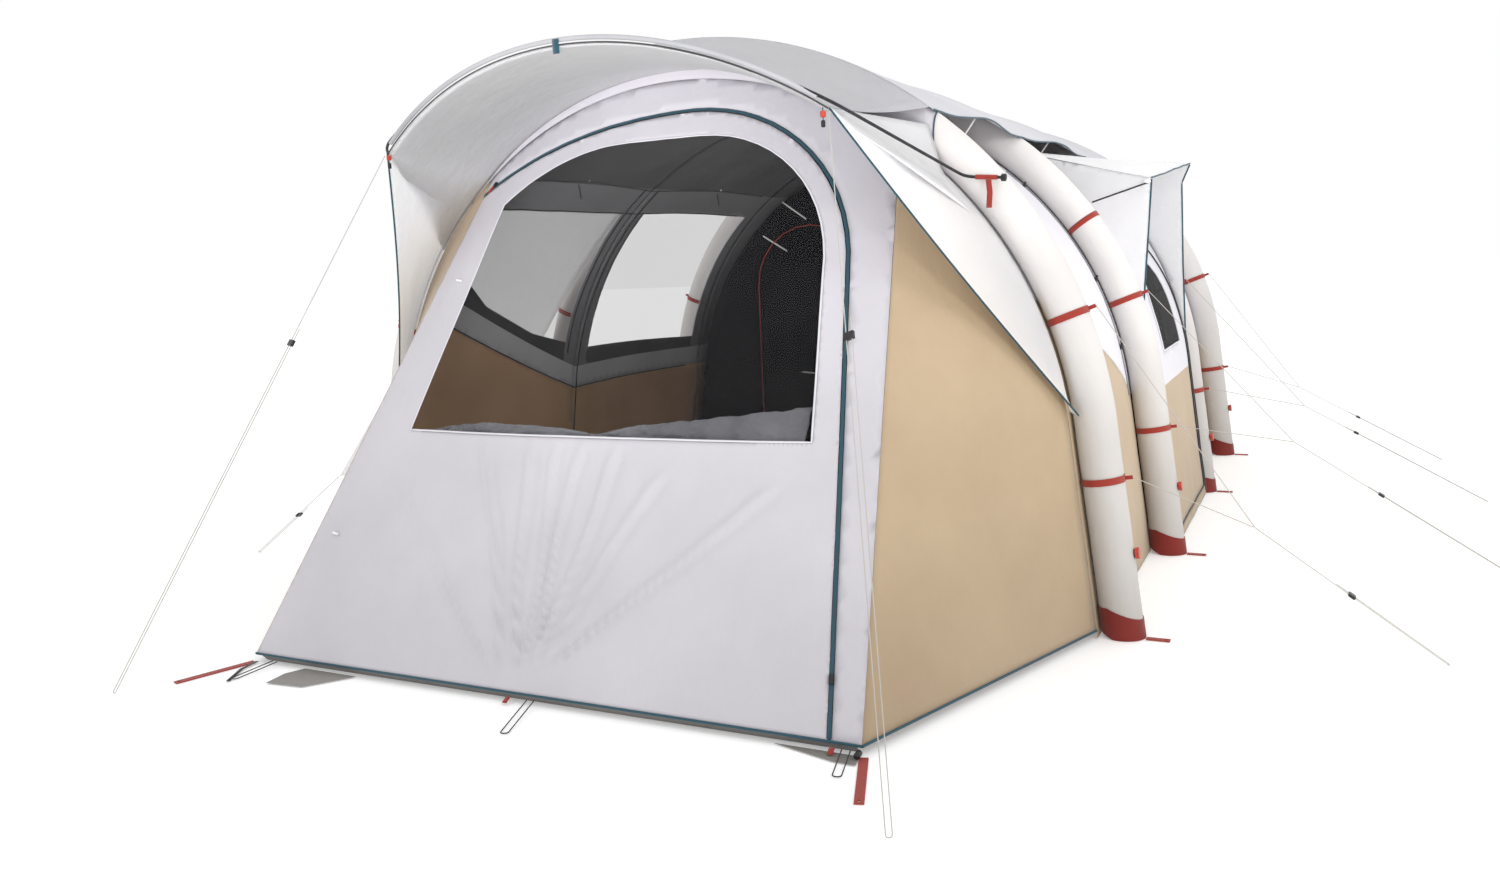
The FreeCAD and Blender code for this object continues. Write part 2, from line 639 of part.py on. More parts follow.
def tube_through(points, radius, bends):
    """Round bar along straight runs joined by tangent arcs of the radii in bends."""
    edges, start = [], points[0]
    for before, corner, after, bend in zip(points, points[1:], points[2:], bends):
        entering, leaving = (corner - before).normalize(), (after - corner).normalize()
        half = entering.getAngle(leaving) / 2
        back = bend * math.tan(half)
        first, last = corner - entering * back, corner + leaving * back
        middle = corner + (leaving - entering).normalize() * (bend / math.cos(half) - bend)
        edges.append(Part.LineSegment(start, first).toShape())
        edges.append(Part.Arc(first, middle, last).toShape())
        start = last
    edges.append(Part.LineSegment(start, points[-1]).toShape())
    path = Part.Wire(edges)
    section = Part.Wire(Part.Circle(points[0], (points[1] - points[0]).normalize(), radius).toShape())
    bar = path.makePipeShell([section], True, True)
    return bar, path


BRACKET_Y = BEAM_Y[0] - size("beam_radius") - 14
POLE_TURN = Vector(1176, BRACKET_Y, size("bracket_height"))
POLE_END = Vector(1308, BRACKET_Y, size("bracket_height") - 11)


def on_side(point, side):
    """A point of the right half, or its mirror image when side is -1."""
    return Vector(side * point.x, point.y, point.z)


def visor_pole():
    """Springy pole from one bracket up through the hood's front edge and down to the other bracket."""
    clear = size("pole_radius") + CLOTH + 6
    over = [hood_edge_point(size("hood_tip_x") * k / 5) + Vector(0, -6, clear) for k in range(5, -6, -1)]
    over[0].x += 16
    over[-1].x -= 16
    points = [POLE_END, POLE_TURN] + over + [on_side(POLE_TURN, -1), on_side(POLE_END, -1)]
    bar, _ = tube_through(points, size("pole_radius"), [50, 120] + [600] * 9 + [120, 50])
    return keep(solid_feature("visor_pole_bar", bar), "visor_pole")


def pole_brackets():
    """Webbing sleeves on the first beam that the pole's ends pass through, each with a round end stop."""
    pieces = []
    past_bend = 38.0
    for side in (1, -1):
        turn, end = on_side(POLE_TURN, side), on_side(POLE_END, side)
        along = (end - turn).normalize()
        start = turn + along * past_bend
        name = "pole_bracket_%d" % (side + 2)
        sleeve = cylinder(name + "_sleeve", "sizes.pole_radius + 3", "78", start, along)
        bore = cylinder(name + "_bore", "sizes.pole_radius + 0.4", "84", start - along * 3, along)
        pieces.append(boolean("Cut", name, sleeve, bore))
        pieces.append(cylinder(name + "_stop", "11", "14", end + along * 0.4, along))
        web_at = turn + Vector(side * 64 - 25, size("pole_radius") + 3.4, -12)
        pieces.append(block(name + "_web", "50", "1.6", "12", Placement(web_at, Rotation())))
    return keep(compound("pole_brackets", pieces), "pole_brackets")


# ---------------------------------------------------------------- side door, its bay and its canopy
DOOR_OUT = size("door_outset")
DOOR_IN = DOOR_OUT - CLOTH


def side_door_outline(grow=0.0):
    """Side door in the YZ plane: straight sides and a round top."""
    front, rear, foot, spring, top = -500 - grow, 590 + grow, 60 - grow, 1080, 1470 + grow
    middle = (front + rear) / 2
    ends = [Vector(FAR, front, foot), Vector(FAR, rear, foot), Vector(FAR, rear, spring),
            Vector(FAR, middle, top), Vector(FAR, front, spring)]
    return Part.Wire([Part.makeLine(ends[0], ends[1]), Part.makeLine(ends[1], ends[2]),
                      Part.Arc(ends[2], ends[3], ends[4]).toShape(), Part.makeLine(ends[4], ends[0])])


def side_window_outline(grow=0.0):
    """Mesh window of the side door."""
    front, rear, foot, spring, top = -300 - grow, 350 + grow, 890 - grow, 1080, 1330 + grow
    middle = (front + rear) / 2
    ends = [Vector(FAR, front, foot), Vector(FAR, rear, foot), Vector(FAR, rear, spring),
            Vector(FAR, middle, top), Vector(FAR, front, spring)]
    return Part.Wire([Part.makeLine(ends[0], ends[1]), Part.makeLine(ends[1], ends[2]),
                      Part.Arc(ends[2], ends[3], ends[4]).toShape(), Part.makeLine(ends[4], ends[0])])


def prism_from_right(wire):
    """Solid that an outline drawn far to the right sweeps inward through the right wall."""
    return Part.Face(wire).extrude(Vector(-(FAR - 800), 0, 0))


def door_bay():
    """Fixed wall, door and mesh window of the right side's middle bay, which stands out past the fly."""
    length = 2 * DOOR_BAY_HALF - 2 * GAP

    def wall(name, outer, inner):
        band = padded_outline(name, arch_ring_wire(outer, inner), Vector(0, 1, 0), str(length))
        band.Placement = Placement(Vector(0, -length / 2, 0), Rotation())
        return band

    bay_space = plain_box("bay_space", Vector(600, -FAR, -10), Vector(FAR, FAR, DOOR_BAY_TOP))
    cloth = boolean("Common", "bay_cloth", wall("bay_band", DOOR_OUT, DOOR_IN), bay_space)
    doorway = solid_feature("side_doorway", prism_from_right(side_door_outline(3.0)))
    frame = boolean("Cut", "side_wall_cloth", cloth, doorway)
    returns = []
    for end in (-1, 1):
        strip = padded_outline("return_band_%d" % (end + 2), arch_ring_wire(DOOR_OUT, FLY_OUT),
                               Vector(0, 1, 0), "sizes.cloth")
        y = DOOR_BAY_HALF + GAP if end > 0 else -(DOOR_BAY_HALF + GAP + CLOTH)
        strip.Placement = Placement(Vector(0, y, 0), Rotation())
        returns.append(boolean("Common", "bay_return_%d" % (end + 2), strip, bay_space))
    top_space = plain_box("bay_top_space", Vector(600, -FAR, DOOR_BAY_TOP + GAP),
                          Vector(FAR, FAR, DOOR_BAY_TOP + GAP + CLOTH))
    returns.append(boolean("Common", "bay_top", wall("bay_top_band", DOOR_OUT, FLY_OUT + GAP), top_space))
    keep(compound("side_wall", [frame] + returns), "side_wall")
    leaf_space = solid_feature("side_leaf_space", prism_from_right(side_door_outline()))
    window_space = solid_feature("side_window_space", prism_from_right(side_window_outline()))
    leaf = boolean("Common", "side_leaf", cloth, leaf_space)
    keep(boolean("Cut", "side_door_leaf", leaf, window_space), "side_door")
    mesh_space = solid_feature("side_mesh_space", prism_from_right(side_window_outline(-1.5)))
    thin = wall("side_mesh_band", DOOR_OUT - 0.5, DOOR_IN + 0.5)
    keep(boolean("Common", "side_mesh", thin, mesh_space), "side_window")


def side_canopy():
    """Small porch roof over the side door, sewn to the fly under the cover, with a cheek at each end."""
    y_front, y_rear = size("canopy_front_y"), size("canopy_rear_y")
    root_z, root_offset = size("canopy_root_height"), FLY_OUT + 4
    root_x = arch_x(root_z, root_offset)
    corner = Vector(1608, y_front, 1708)
    tip = Vector(1640, y_rear, 1838)
    roof = ruled_cloth(Part.makeLine(Vector(root_x, y_front, root_z), Vector(root_x, y_rear, root_z)),
                       Part.makeLine(corner, tip), Vector(0, 0, CLOTH))

    def wall_points(offset, low, high, spans):
        """Points of an offset arch, as (x, z) pairs, between two heights."""
        heights = [low + (high - low) * k / spans for k in range(spans + 1)]
        return [(arch_x(z, offset), z) for z in heights]

    def cheek(y, outer, foot):
        """Cloth between the wall and a free edge given as (x, z) pairs, from the top down."""
        step = DOOR_BAY_TOP + CLOTH + 3
        wall = wall_points(DOOR_OUT + 3, foot, step, 12) + wall_points(root_offset, step, root_z - 5, 8)
        outline = [Vector(x, y, z) for x, z in wall + outer]
        return Part.Face(flat_wire(outline)).extrude(Vector(0, CLOTH, 0))

    front = cheek(y_front, [(corner.x, corner.z - 6)], 1100)
    rear = cheek(y_rear - CLOTH, [(tip.x, tip.z - 8), (1600, 1735), (1612, 1290)], 900)
    pieces = [solid_feature(name, shape) for name, shape in
              (("canopy_roof", roof), ("canopy_front_cheek", front), ("canopy_rear_cheek", rear))]
    return keep(compound("side_canopy", pieces), "side_canopy")


def canopy_pole():
    """Thin pole from the second beam to the canopy's front corner."""
    foot, _, _ = tube_frame(1560, 1, size("beam_radius") + 8)
    foot = foot + Vector(0, BEAM_Y[1] + 20, 0)
    head = Vector(1600, size("canopy_front_y") - 10, 1690)
    bar = doc.addObject("Part::Cylinder", "canopy_pole_bar")
    bar.Radius = 4
    bar.Height = (head - foot).Length
    bar.Placement = Placement(foot, Rotation(Vector(0, 0, 1), head - foot))
    return keep(bar, "canopy_pole")


def window_awning():
    """Sunshade over the front window of the left side, held out by its corner."""
    y_front, y_rear = BEAM_Y[0] + 100, BEAM_Y[1] - 100
    top, drop, reach = size("awning_top"), size("awning_drop"), size("awning_reach")
    x_top = -(arch_x(top, FLY_OUT) + 22)
    cloth = ruled_cloth(Part.makeLine(Vector(-reach, y_front, drop), Vector(-reach, y_rear, drop)),
                        Part.makeLine(Vector(x_top, y_front, top), Vector(x_top, y_rear, top)),
                        Vector(0, 0, CLOTH + 1))
    return keep(solid_feature("window_awning_cloth", cloth), "window_awning")


# ---------------------------------------------------------------- floor and sleeping cabin
def groundsheet():
    """Floor of the tent with a low raised edge."""
    plan = [(-1150, FRONT_HEM_Y + 90), (1150, FRONT_HEM_Y + 90), (1590, FRONT_Y + 40), (1590, REAR_Y - 40),
            (1090, REAR_HEM_Y - 60), (-1090, REAR_HEM_Y - 60), (-1590, REAR_Y - 40), (-1590, FRONT_Y + 40)]
    outline = flat_wire([Vector(x, y, 0) for x, y in plan])
    tub = Part.Face(outline).extrude(Vector(0, 0, 60))
    inside = outline.makeOffset2D(-CLOTH).translated(Vector(0, 0, CLOTH))
    hollow = Part.Face(inside).extrude(Vector(0, 0, 100))
    return keep(solid_feature("groundsheet_tub", tub.cut(hollow)), "groundsheet")


def bedroom_wire(inset, foot):
    """Closed outline of the cabin's section."""
    run = arch_run(-size("bedroom_inset") - inset, foot)
    base = Part.makeLine(run[-1].Vertexes[-1].Point, run[0].Vertexes[0].Point)
    return Part.Wire(Part.__sortEdges__(run + [base]))


def bedroom_door_outline(side, grow=0.0):
    """Cabin door in the XZ plane: straight sides and a round top."""
    inner, outer = side * (260 - grow), side * (1000 + grow)
    foot, spring, top = 110 - grow, 1250, 1620 + grow
    ends = [Vector(inner, 0, foot), Vector(outer, 0, foot), Vector(outer, 0, spring),
            Vector((inner + outer) / 2, 0, top), Vector(inner, 0, spring)]
    return Part.Wire([Part.makeLine(ends[0], ends[1]), Part.makeLine(ends[1], ends[2]),
                      Part.Arc(ends[2], ends[3], ends[4]).toShape(), Part.makeLine(ends[4], ends[0])])


def bedroom():
    """Dark sleeping cabin: front wall with two doors, arched shell, sloping rear and a divider."""
    foot, y0, y1 = 6.0, size("bedroom_front_y"), size("bedroom_rear_y")
    wall = solid_feature("bedroom_front_whole", prism_y(bedroom_wire(0, foot), y0, y0 + CLOTH))
    for side, name in ((-1, "left"), (1, "right")):
        hole = solid_feature("bedroom_hole_%s" % name, prism_y(bedroom_door_outline(side, 3.0)))
        wall = boolean("Cut", "bedroom_front_%s" % name, wall, hole)
        leaf = prism_y(bedroom_door_outline(side), y0, y0 + CLOTH)
        keep(solid_feature("bedroom_leaf_%s" % name, leaf), "bedroom_door_%s" % name)
    keep(wall, "bedroom_front_wall")
    offset = -size("bedroom_inset")
    shell = padded_outline("bedroom_shell_band", arch_ring_wire(offset, offset - CLOTH, foot),
                           Vector(0, 1, 0), "sizes.bedroom_rear_y - sizes.bedroom_front_y - sizes.cloth - 1")
    shell.Placement = Placement(Vector(0, y0 + CLOTH + 0.5, 0), Rotation())
    keep(shell, "bedroom_shell")
    shared = (y1 + CLOTH + 1.5, REAR_HEM_Y - 130, size("rear_hem_half") - 140, 800, offset, foot)
    panels = [solid_feature("bedroom_rear_middle", end_cloth(*shared, CLOTH))]
    panels += [solid_feature("bedroom_rear_side_%d" % (side + 2), end_side_cloth(*shared, side, CLOTH))
               for side in (1, -1)]
    keep(compound("bedroom_rear", panels), "bedroom_rear")
    top = arch_z(0, offset) - CLOTH - 10
    slope_end = REAR_HEM_Y - 130 - 30
    divider = prism_x([(y0 + CLOTH + 4, foot), (slope_end, foot), (y1 - 30, top), (y0 + CLOTH + 4, top)],
                      -CLOTH / 2, CLOTH / 2)
    keep(solid_feature("bedroom_divider_cloth", divider), "bedroom_divider")


# ---------------------------------------------------------------- guy ropes
ROPE_RADIUS = size("rope") / 2
TIGHT_BEND = 120.0  # a taut rope turns this sharply at the ring where two lines meet
STRAND = size("strand_gap")


def strap_eye(number, level, side=1):
    """Where a rope leaves a strap's lug."""
    point, _, _ = tube_frame(size(level), side, size("beam_radius") + 2.6 + size("lug_length") + 1)
    return point + Vector(0, BEAM_Y[number - 1], 0)


# Each guy: where it starts, an optional junction on the way, the ground loop, and the share of the last run
# at which the runner sits. The strands lie side by side along 'across'.
BRIDLES = [
    (1, Vector(2153, BEAM_Y[0], 429), 2748, 0.51),
    (2, Vector(2232, BEAM_Y[1], 530), 3053, 0.42),
    (3, Vector(2241, BEAM_Y[2], 496), 3122, 0.29),
    (4, Vector(2180, BEAM_Y[3], 453), 3000, 0.42),
]
GROUND_Z = 4.0


def rope_bends(points):
    """Arc radius at each inner point of a route: as large as its two runs allow."""
    radii = []
    for before, corner, after in zip(points, points[1:], points[2:]):
        first, last = corner - before, after - corner
        half = first.getAngle(last) / 2
        radii.append(min(0.45 * min(first.Length, last.Length) / math.tan(half), TIGHT_BEND))
    return radii


def bend_middle(before, corner, after):
    """Where the rope's arc passes closest to a corner of its route."""
    entering, leaving = (corner - before).normalize(), (after - corner).normalize()
    half = entering.getAngle(leaving) / 2
    bend = rope_bends([before, corner, after])[0]
    return corner + (leaving - entering).normalize() * (bend / math.cos(half) - bend)


def rope(label, points):
    """One rope as a plain tube; prints its radii, its length and how its volume compares."""
    bends = rope_bends(points)
    tube, path = tube_through(points, ROPE_RADIUS, bends)
    share = tube.Volume / (math.pi * ROPE_RADIUS ** 2 * path.Length)
    print("%s: length %.0f, volume share %.4f, radii %s"
          % (label, path.Length, share, " ".join("%.0f" % r for r in bends)))
    return solid_feature(label + "_tube", tube)


def runner(label, at, along, across):
    """Line runner: a small block with a bore for each strand."""
    along, across = Vector(along).normalize(), Vector(across).normalize()
    turn = Rotation(across, along.cross(across), along, "ZYX")
    centre = at + across * (STRAND / 2)
    half = Vector(size("runner_width") / 2, size("runner_depth") / 2, size("runner_length") / 2)
    body = block(label + "_block", "sizes.runner_width", "sizes.runner_depth", "sizes.runner_length",
                 Placement(centre - turn.multVec(half), turn))
    for k in (0, 1):
        bore_at = at + across * (STRAND * k) - along * size("runner_length")
        bore = cylinder("%s_bore_%d" % (label, k), "sizes.rope / 2 + 0.5", "2 * sizes.runner_length",
                        bore_at, along)
        body = boolean("Cut", "%s_bored_%d" % (label, k), body, bore)
    return keep(body, label)


def guy(label, start_points, loop, share, across):
    """A rope that runs to a ground loop and back up through its runner to a short tail."""
    turn = start_points[-1]
    down = (loop - turn).normalize()
    across = (across - down * across.dot(down)).normalize()
    at = turn + (loop - turn) * share
    print("%s: runner at (%.1f, %.1f, %.1f) along (%.4f, %.4f, %.4f), travel %.0f"
          % (label, at.x, at.y, at.z, down.x, down.y, down.z, (loop - at).Length))
    back = [loop + across * STRAND, at + across * STRAND - down * 60]
    keep(rope(label, start_points + [loop] + back), label)
    runner("runner_" + label, at, down, across)


def guy_ropes():
    """The ropes that hold the hood, the window awning and the four beams' right side."""
    branches = []
    for number, junction, ground_x, share in BRIDLES:
        loop = Vector(ground_x, junction.y, GROUND_Z)
        high = strap_eye(number, "strap_high")
        low = strap_eye(number, "strap_low")
        guy("guy_right_%d" % number, [high, junction], loop, share, Vector(0, 1, 0))
        meeting = bend_middle(high, junction, loop)
        toward = (meeting - low).normalize()
        branches.append(rope("bridle_branch_%d" % number, [low, meeting - toward * (size("rope") * 1.8)]))
    keep(compound("bridle_branches", branches), "bridle_branches")
    for side, name in ((1, "right"), (-1, "left")):
        tip = hood_edge_point(side * size("hood_tip_x")) + Vector(side * 6, -12, -12)
        loop = Vector(side * 1435, BEAM_Y[0] - 1769, GROUND_Z)
        guy("guy_hood_%s" % name, [tip], loop, 0.37, Vector(1, -0.3, 0))
    corner = Vector(-size("awning_reach") - 4, BEAM_Y[0] + 100, size("awning_drop"))
    guy("guy_awning", [corner], Vector(-2667, BEAM_Y[0] - 60, GROUND_Z), 0.5, Vector(0, 1, 0))


def hem_elastics():
    """Three elastic loops that hold the front hem down: one at the middle and one at each corner."""
    loops = []
    radius = size("elastic") / 2
    places = (("left", -1120, -0.15, 170), ("middle", 40, 0.3, 240), ("right", 1150, 0.2, 150))
    for name, x, lean, reach in places:
        start = Vector(x, FRONT_HEM_Y - 6, 16)
        away = Vector(lean, -1, 0).normalize()
        loop = start + away * reach
        loop.z = radius + 1
        across = Vector(-away.y, away.x, 0) * size("elastic_gap")
        points = [start, loop, loop + across, start + across]
        tube, path = tube_through(points, radius, rope_bends(points))
        print("elastic %s: length %.0f" % (name, path.Length))
        loops.append(solid_feature("elastic_" + name, tube))
    return keep(compound("hem_elastics", loops), "hem_elastics")


# ---------------------------------------------------------------- build, check and write
for beam_number in range(1, 5):
    air_beam(beam_number)
beam_boots()
peg_tabs()
beam_straps()
valves()
fly_panels()
left_windows()
skirts()
roof_cover()
vent_struts()
front_end()
front_zip_slider()
mud_flap()
rear_end()
hood()
visor_pole()
pole_brackets()
door_bay()
side_canopy()
canopy_pole()
window_awning()
groundsheet()
bedroom()
guy_ropes()
hem_elastics()
doc.recompute()

failed = [o.Name for o in doc.Objects if "Invalid" in o.State or "Error" in o.State]
if failed:
    raise RuntimeError("objects that did not compute: %s" % ", ".join(failed))
for part in subparts:
    if part.Shape.isNull() or not part.Shape.isValid() or not part.Shape.Solids:
        raise RuntimeError("%s has no valid solid" % part.Label)

os.makedirs("parts", exist_ok=True)
for part in subparts:
    part.Shape.exportStep(os.path.join("parts", part.Label + ".step"))
print("%d sub-parts written" % len(subparts))
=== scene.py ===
"""Looks of the family tunnel tent: cloth, air beams, window film, webbing, ropes, light and camera.

Metres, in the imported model's own frame. The cloth follows the same arch as the CAD: one circle with a
leaning straight leg at each side, moved in or out by an offset.
"""

import math

import bpy
import numpy as np
from mathutils import Matrix, Vector, noise
from mathutils.geometry import delaunay_2d_cdt


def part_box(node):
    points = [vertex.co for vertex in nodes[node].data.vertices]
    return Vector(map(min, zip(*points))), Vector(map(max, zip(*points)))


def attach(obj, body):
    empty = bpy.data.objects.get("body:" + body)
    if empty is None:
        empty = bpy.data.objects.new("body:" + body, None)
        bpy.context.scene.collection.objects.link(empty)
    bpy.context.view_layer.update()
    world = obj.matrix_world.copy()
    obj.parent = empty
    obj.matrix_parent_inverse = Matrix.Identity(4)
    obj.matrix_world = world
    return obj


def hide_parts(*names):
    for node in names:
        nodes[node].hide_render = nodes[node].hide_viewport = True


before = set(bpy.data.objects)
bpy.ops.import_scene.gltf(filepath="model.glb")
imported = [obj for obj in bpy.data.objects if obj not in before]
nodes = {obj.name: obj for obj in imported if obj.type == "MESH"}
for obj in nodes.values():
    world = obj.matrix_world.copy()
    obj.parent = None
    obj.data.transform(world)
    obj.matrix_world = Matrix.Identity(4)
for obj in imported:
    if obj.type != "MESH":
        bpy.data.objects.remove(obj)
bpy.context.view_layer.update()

# ---------------------------------------------------------------- sizes taken from the frame
LEAN = math.radians(7.5)
BEAM_BOXES = [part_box("air_beam_%d" % n) for n in (1, 2, 3, 4)]
BEAM_Y = [(low.y + high.y) / 2 for low, high in BEAM_BOXES]
BEAM_R = (BEAM_BOXES[0][1].y - BEAM_BOXES[0][0].y) / 2
APEX = BEAM_BOXES[0][1].z - BEAM_R
FOOT = BEAM_BOXES[0][1].x + 0.0225 * math.sin(LEAN) - BEAM_R * math.cos(LEAN)
ARCH_Z = (APEX - FOOT * math.cos(LEAN)) / (1 - math.sin(LEAN))
ARCH_R = APEX - ARCH_Z
ROUND = ARCH_R * (math.pi / 2 - LEAN)
LEG = (ARCH_Z + ARCH_R * math.sin(LEAN)) / math.cos(LEAN)
FLY = -0.079
COVER = 0.080
FRONT_Y = BEAM_Y[0] - 0.080
REAR_Y = BEAM_Y[3] + 0.080
HEM_LOW, HEM_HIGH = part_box("front_frame")
FRONT_HEM_Y = HEM_LOW.y
REAR_HEM_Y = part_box("rear_panels")[1].y
HEM_Z = 0.032
HEM_HALF = 1.210
TOP_HALF = 0.930
FRONT_OUT = Vector((0, -0.82, 0.57))
CROWN, LEFT_SHOULDER, RIGHT_SHOULDER = (0.120, 1.998), (-0.930, 1.735), (0.845, 1.430)
ZIP_FOOT = (1.112, 0.020)
ZIP_HALF = 0.0075
STRAP_LOW_Z, STRAP_HIGH_Z = 0.575, 1.165
SIDES = ((1, "right"), (-1, "left"))
SEAM_GAP = 0.0016
CLOTH_T, FINE_T, FILM_T = 0.0015, 0.0012, 0.0006


# ---------------------------------------------------------------- the arch
def arch(u, offset=0.0):
    """Point and outward normal of the arch in XZ; u runs along the beam from the top, + to the right."""
    side = 1.0 if u >= 0 else -1.0
    if abs(u) <= ROUND:
        angle = math.pi / 2 - u / ARCH_R
        normal = (math.cos(angle), math.sin(angle))
        return (ARCH_R + offset) * normal[0], ARCH_Z + (ARCH_R + offset) * normal[1], normal
    down = abs(u) - ROUND
    normal = (side * math.cos(LEAN), math.sin(LEAN))
    x = side * (ARCH_R * math.cos(LEAN) + down * math.sin(LEAN)) + offset * normal[0]
    z = ARCH_Z + ARCH_R * math.sin(LEAN) - down * math.cos(LEAN) + offset * normal[1]
    return x, z, normal


def u_at_height(z, offset=0.0):
    """Distance from the top at which the right half of the arch has a height."""
    radius = ARCH_R + offset
    knee = ARCH_Z + radius * math.sin(LEAN)
    if z < knee:
        return ROUND + (knee - z) / math.cos(LEAN)
    return ARCH_R * (math.pi / 2 - math.asin(min(1.0, (z - ARCH_Z) / radius)))


def u_at_x(x, offset=0.0):
    return ARCH_R * (math.pi / 2 - math.acos(x / (ARCH_R + offset)))


def arch_z(x, offset):
    return ARCH_Z + math.sqrt((ARCH_R + offset) ** 2 - x * x)


def arch_x(z, offset):
    return arch(u_at_height(z, offset), offset)[0]


# ---------------------------------------------------------------- materials
def tone(code):
    """Linear colour of a six-digit hex code."""
    values = [int(code[k:k + 2], 16) / 255 for k in (0, 2, 4)]
    return tuple(v / 12.92 if v <= 0.04045 else ((v + 0.055) / 1.055) ** 2.4 for v in values) + (1.0,)


def shader(name, roughness=0.8, **sockets):
    """New material with a Principled shader; sockets are constant values set on the shader itself."""
    material = bpy.data.materials.new(name)
    material.use_nodes = True
    tree = material.node_tree
    principled = next(n for n in tree.nodes if n.type == "BSDF_PRINCIPLED")
    principled.inputs["Roughness"].default_value = roughness
    for label, value in sockets.items():
        principled.inputs[label].default_value = value
    return material, tree, principled


def link(tree, node, output, target, socket):
    tree.links.new(node.outputs[output], target.inputs[socket])


def position(tree, scale=(1, 1, 1)):
    """Object coordinates, scaled."""
    where = tree.nodes.new("ShaderNodeTexCoord")
    mapping = tree.nodes.new("ShaderNodeMapping")
    mapping.inputs["Scale"].default_value = scale
    link(tree, where, "Object", mapping, "Vector")
    return mapping


def noise_node(tree, where, scale, detail=3.0, roughness=0.5):
    node = tree.nodes.new("ShaderNodeTexNoise")
    node.inputs["Scale"].default_value = scale
    node.inputs["Detail"].default_value = detail
    node.inputs["Roughness"].default_value = roughness
    link(tree, where, "Vector", node, "Vector")
    return node


def ramp(tree, source, stops):
    """Colour ramp over a node's factor; stops are (position, colour) pairs."""
    node = tree.nodes.new("ShaderNodeValToRGB")
    while len(node.color_ramp.elements) < len(stops):
        node.color_ramp.elements.new(0.5)
    for element, (place, colour) in zip(node.color_ramp.elements, stops):
        element.position = place
        element.color = colour
    tree.links.new(source, node.inputs["Fac"])
    return node


def bump(tree, principled, height, strength, distance, below=None):
    node = tree.nodes.new("ShaderNodeBump")
    node.inputs["Strength"].default_value = strength
    node.inputs["Distance"].default_value = distance
    tree.links.new(height, node.inputs["Height"])
    if below is not None:
        link(tree, below, "Normal", node, "Normal")
    link(tree, node, "Normal", principled, "Normal")
    return node


def painted_shade_by_height(tree, colour, shade_tints):
    """Painted shade: multiplies a colour by a tint that changes with height, from (metres, tint) pairs, so that
    the cloth is darker where shade falls low down.
    """
    where = tree.nodes.new("ShaderNodeTexCoord")
    split = tree.nodes.new("ShaderNodeSeparateXYZ")
    link(tree, where, "Object", split, "Vector")
    share = tree.nodes.new("ShaderNodeMath")
    share.operation = "DIVIDE"
    share.inputs[1].default_value = APEX
    link(tree, split, "Z", share, 0)
    tint = ramp(tree, share.outputs["Value"], [(height / APEX, (*rgb, 1.0)) for height, rgb in shade_tints])
    both = tree.nodes.new("ShaderNodeMix")
    both.data_type = "RGBA"
    both.blend_type = "MULTIPLY"
    both.inputs[0].default_value = 1.0
    tree.links.new(colour, both.inputs[6])
    link(tree, tint, "Color", both, 7)
    return both.outputs[2]


def woven(name, light, dark, thread=900.0, crease=0.5, roughness=0.75, sheen=0.15, stretch=(1, 1, 1), shade_tints=(),
          **sockets):
    """Woven cloth: two close tones, soft creases and a fine over-and-under weave, with painted shade by height
    when a height ramp is given.
    """
    material, tree, principled = shader(name, roughness, **{"Sheen Weight": sheen, **sockets})
    where = position(tree)
    mottled = noise_node(tree, where, 2.3, 4.0, 0.55)
    colour = ramp(tree, mottled.outputs["Fac"], [(0.3, tone(dark)), (0.7, tone(light))]).outputs["Color"]
    if shade_tints:
        colour = painted_shade_by_height(tree, colour, shade_tints)
    tree.links.new(colour, principled.inputs["Base Color"])
    folds = noise_node(tree, position(tree, stretch), 5.0, 4.0, 0.6)
    soft = bump(tree, principled, folds.outputs["Fac"], crease, 0.02)
    warp = tree.nodes.new("ShaderNodeTexWave")
    weft = tree.nodes.new("ShaderNodeTexWave")
    for node, direction in ((warp, "Z"), (weft, "DIAGONAL")):
        node.bands_direction = direction
        node.inputs["Scale"].default_value = thread
        link(tree, where, "Vector", node, "Vector")
    both = tree.nodes.new("ShaderNodeMath")
    both.operation = "MULTIPLY"
    link(tree, warp, "Fac", both, 0)
    link(tree, weft, "Fac", both, 1)
    bump(tree, principled, both.outputs["Value"], 0.12, 0.0006, soft)
    return material


def moulded(name, colour, worn, roughness=0.35, grain=0.15, **sockets):
    """Moulded plastic or painted metal with slightly worn high spots."""
    material, tree, principled = shader(name, roughness, **sockets)
    where = position(tree)
    patches = noise_node(tree, where, 60.0, 3.0)
    mixed = ramp(tree, patches.outputs["Fac"], [(0.45, tone(colour)), (0.75, tone(worn))])
    link(tree, mixed, "Color", principled, "Base Color")
    grainy = noise_node(tree, where, 900.0, 2.0)
    bump(tree, principled, grainy.outputs["Fac"], grain, 0.0004)
    return material


def webbing(name, light, dark):
    """Flat webbing with ribs across it."""
    material, tree, principled = shader(name, 0.7, **{"Sheen Weight": 0.2})
    where = position(tree)
    ribs = tree.nodes.new("ShaderNodeTexWave")
    ribs.bands_direction = "DIAGONAL"
    ribs.inputs["Scale"].default_value = 220.0
    ribs.inputs["Distortion"].default_value = 0.6
    link(tree, where, "Vector", ribs, "Vector")
    colour = ramp(tree, ribs.outputs["Fac"], [(0.2, tone(dark)), (0.8, tone(light))])
    link(tree, colour, "Color", principled, "Base Color")
    bump(tree, principled, ribs.outputs["Fac"], 0.4, 0.0008)
    return material


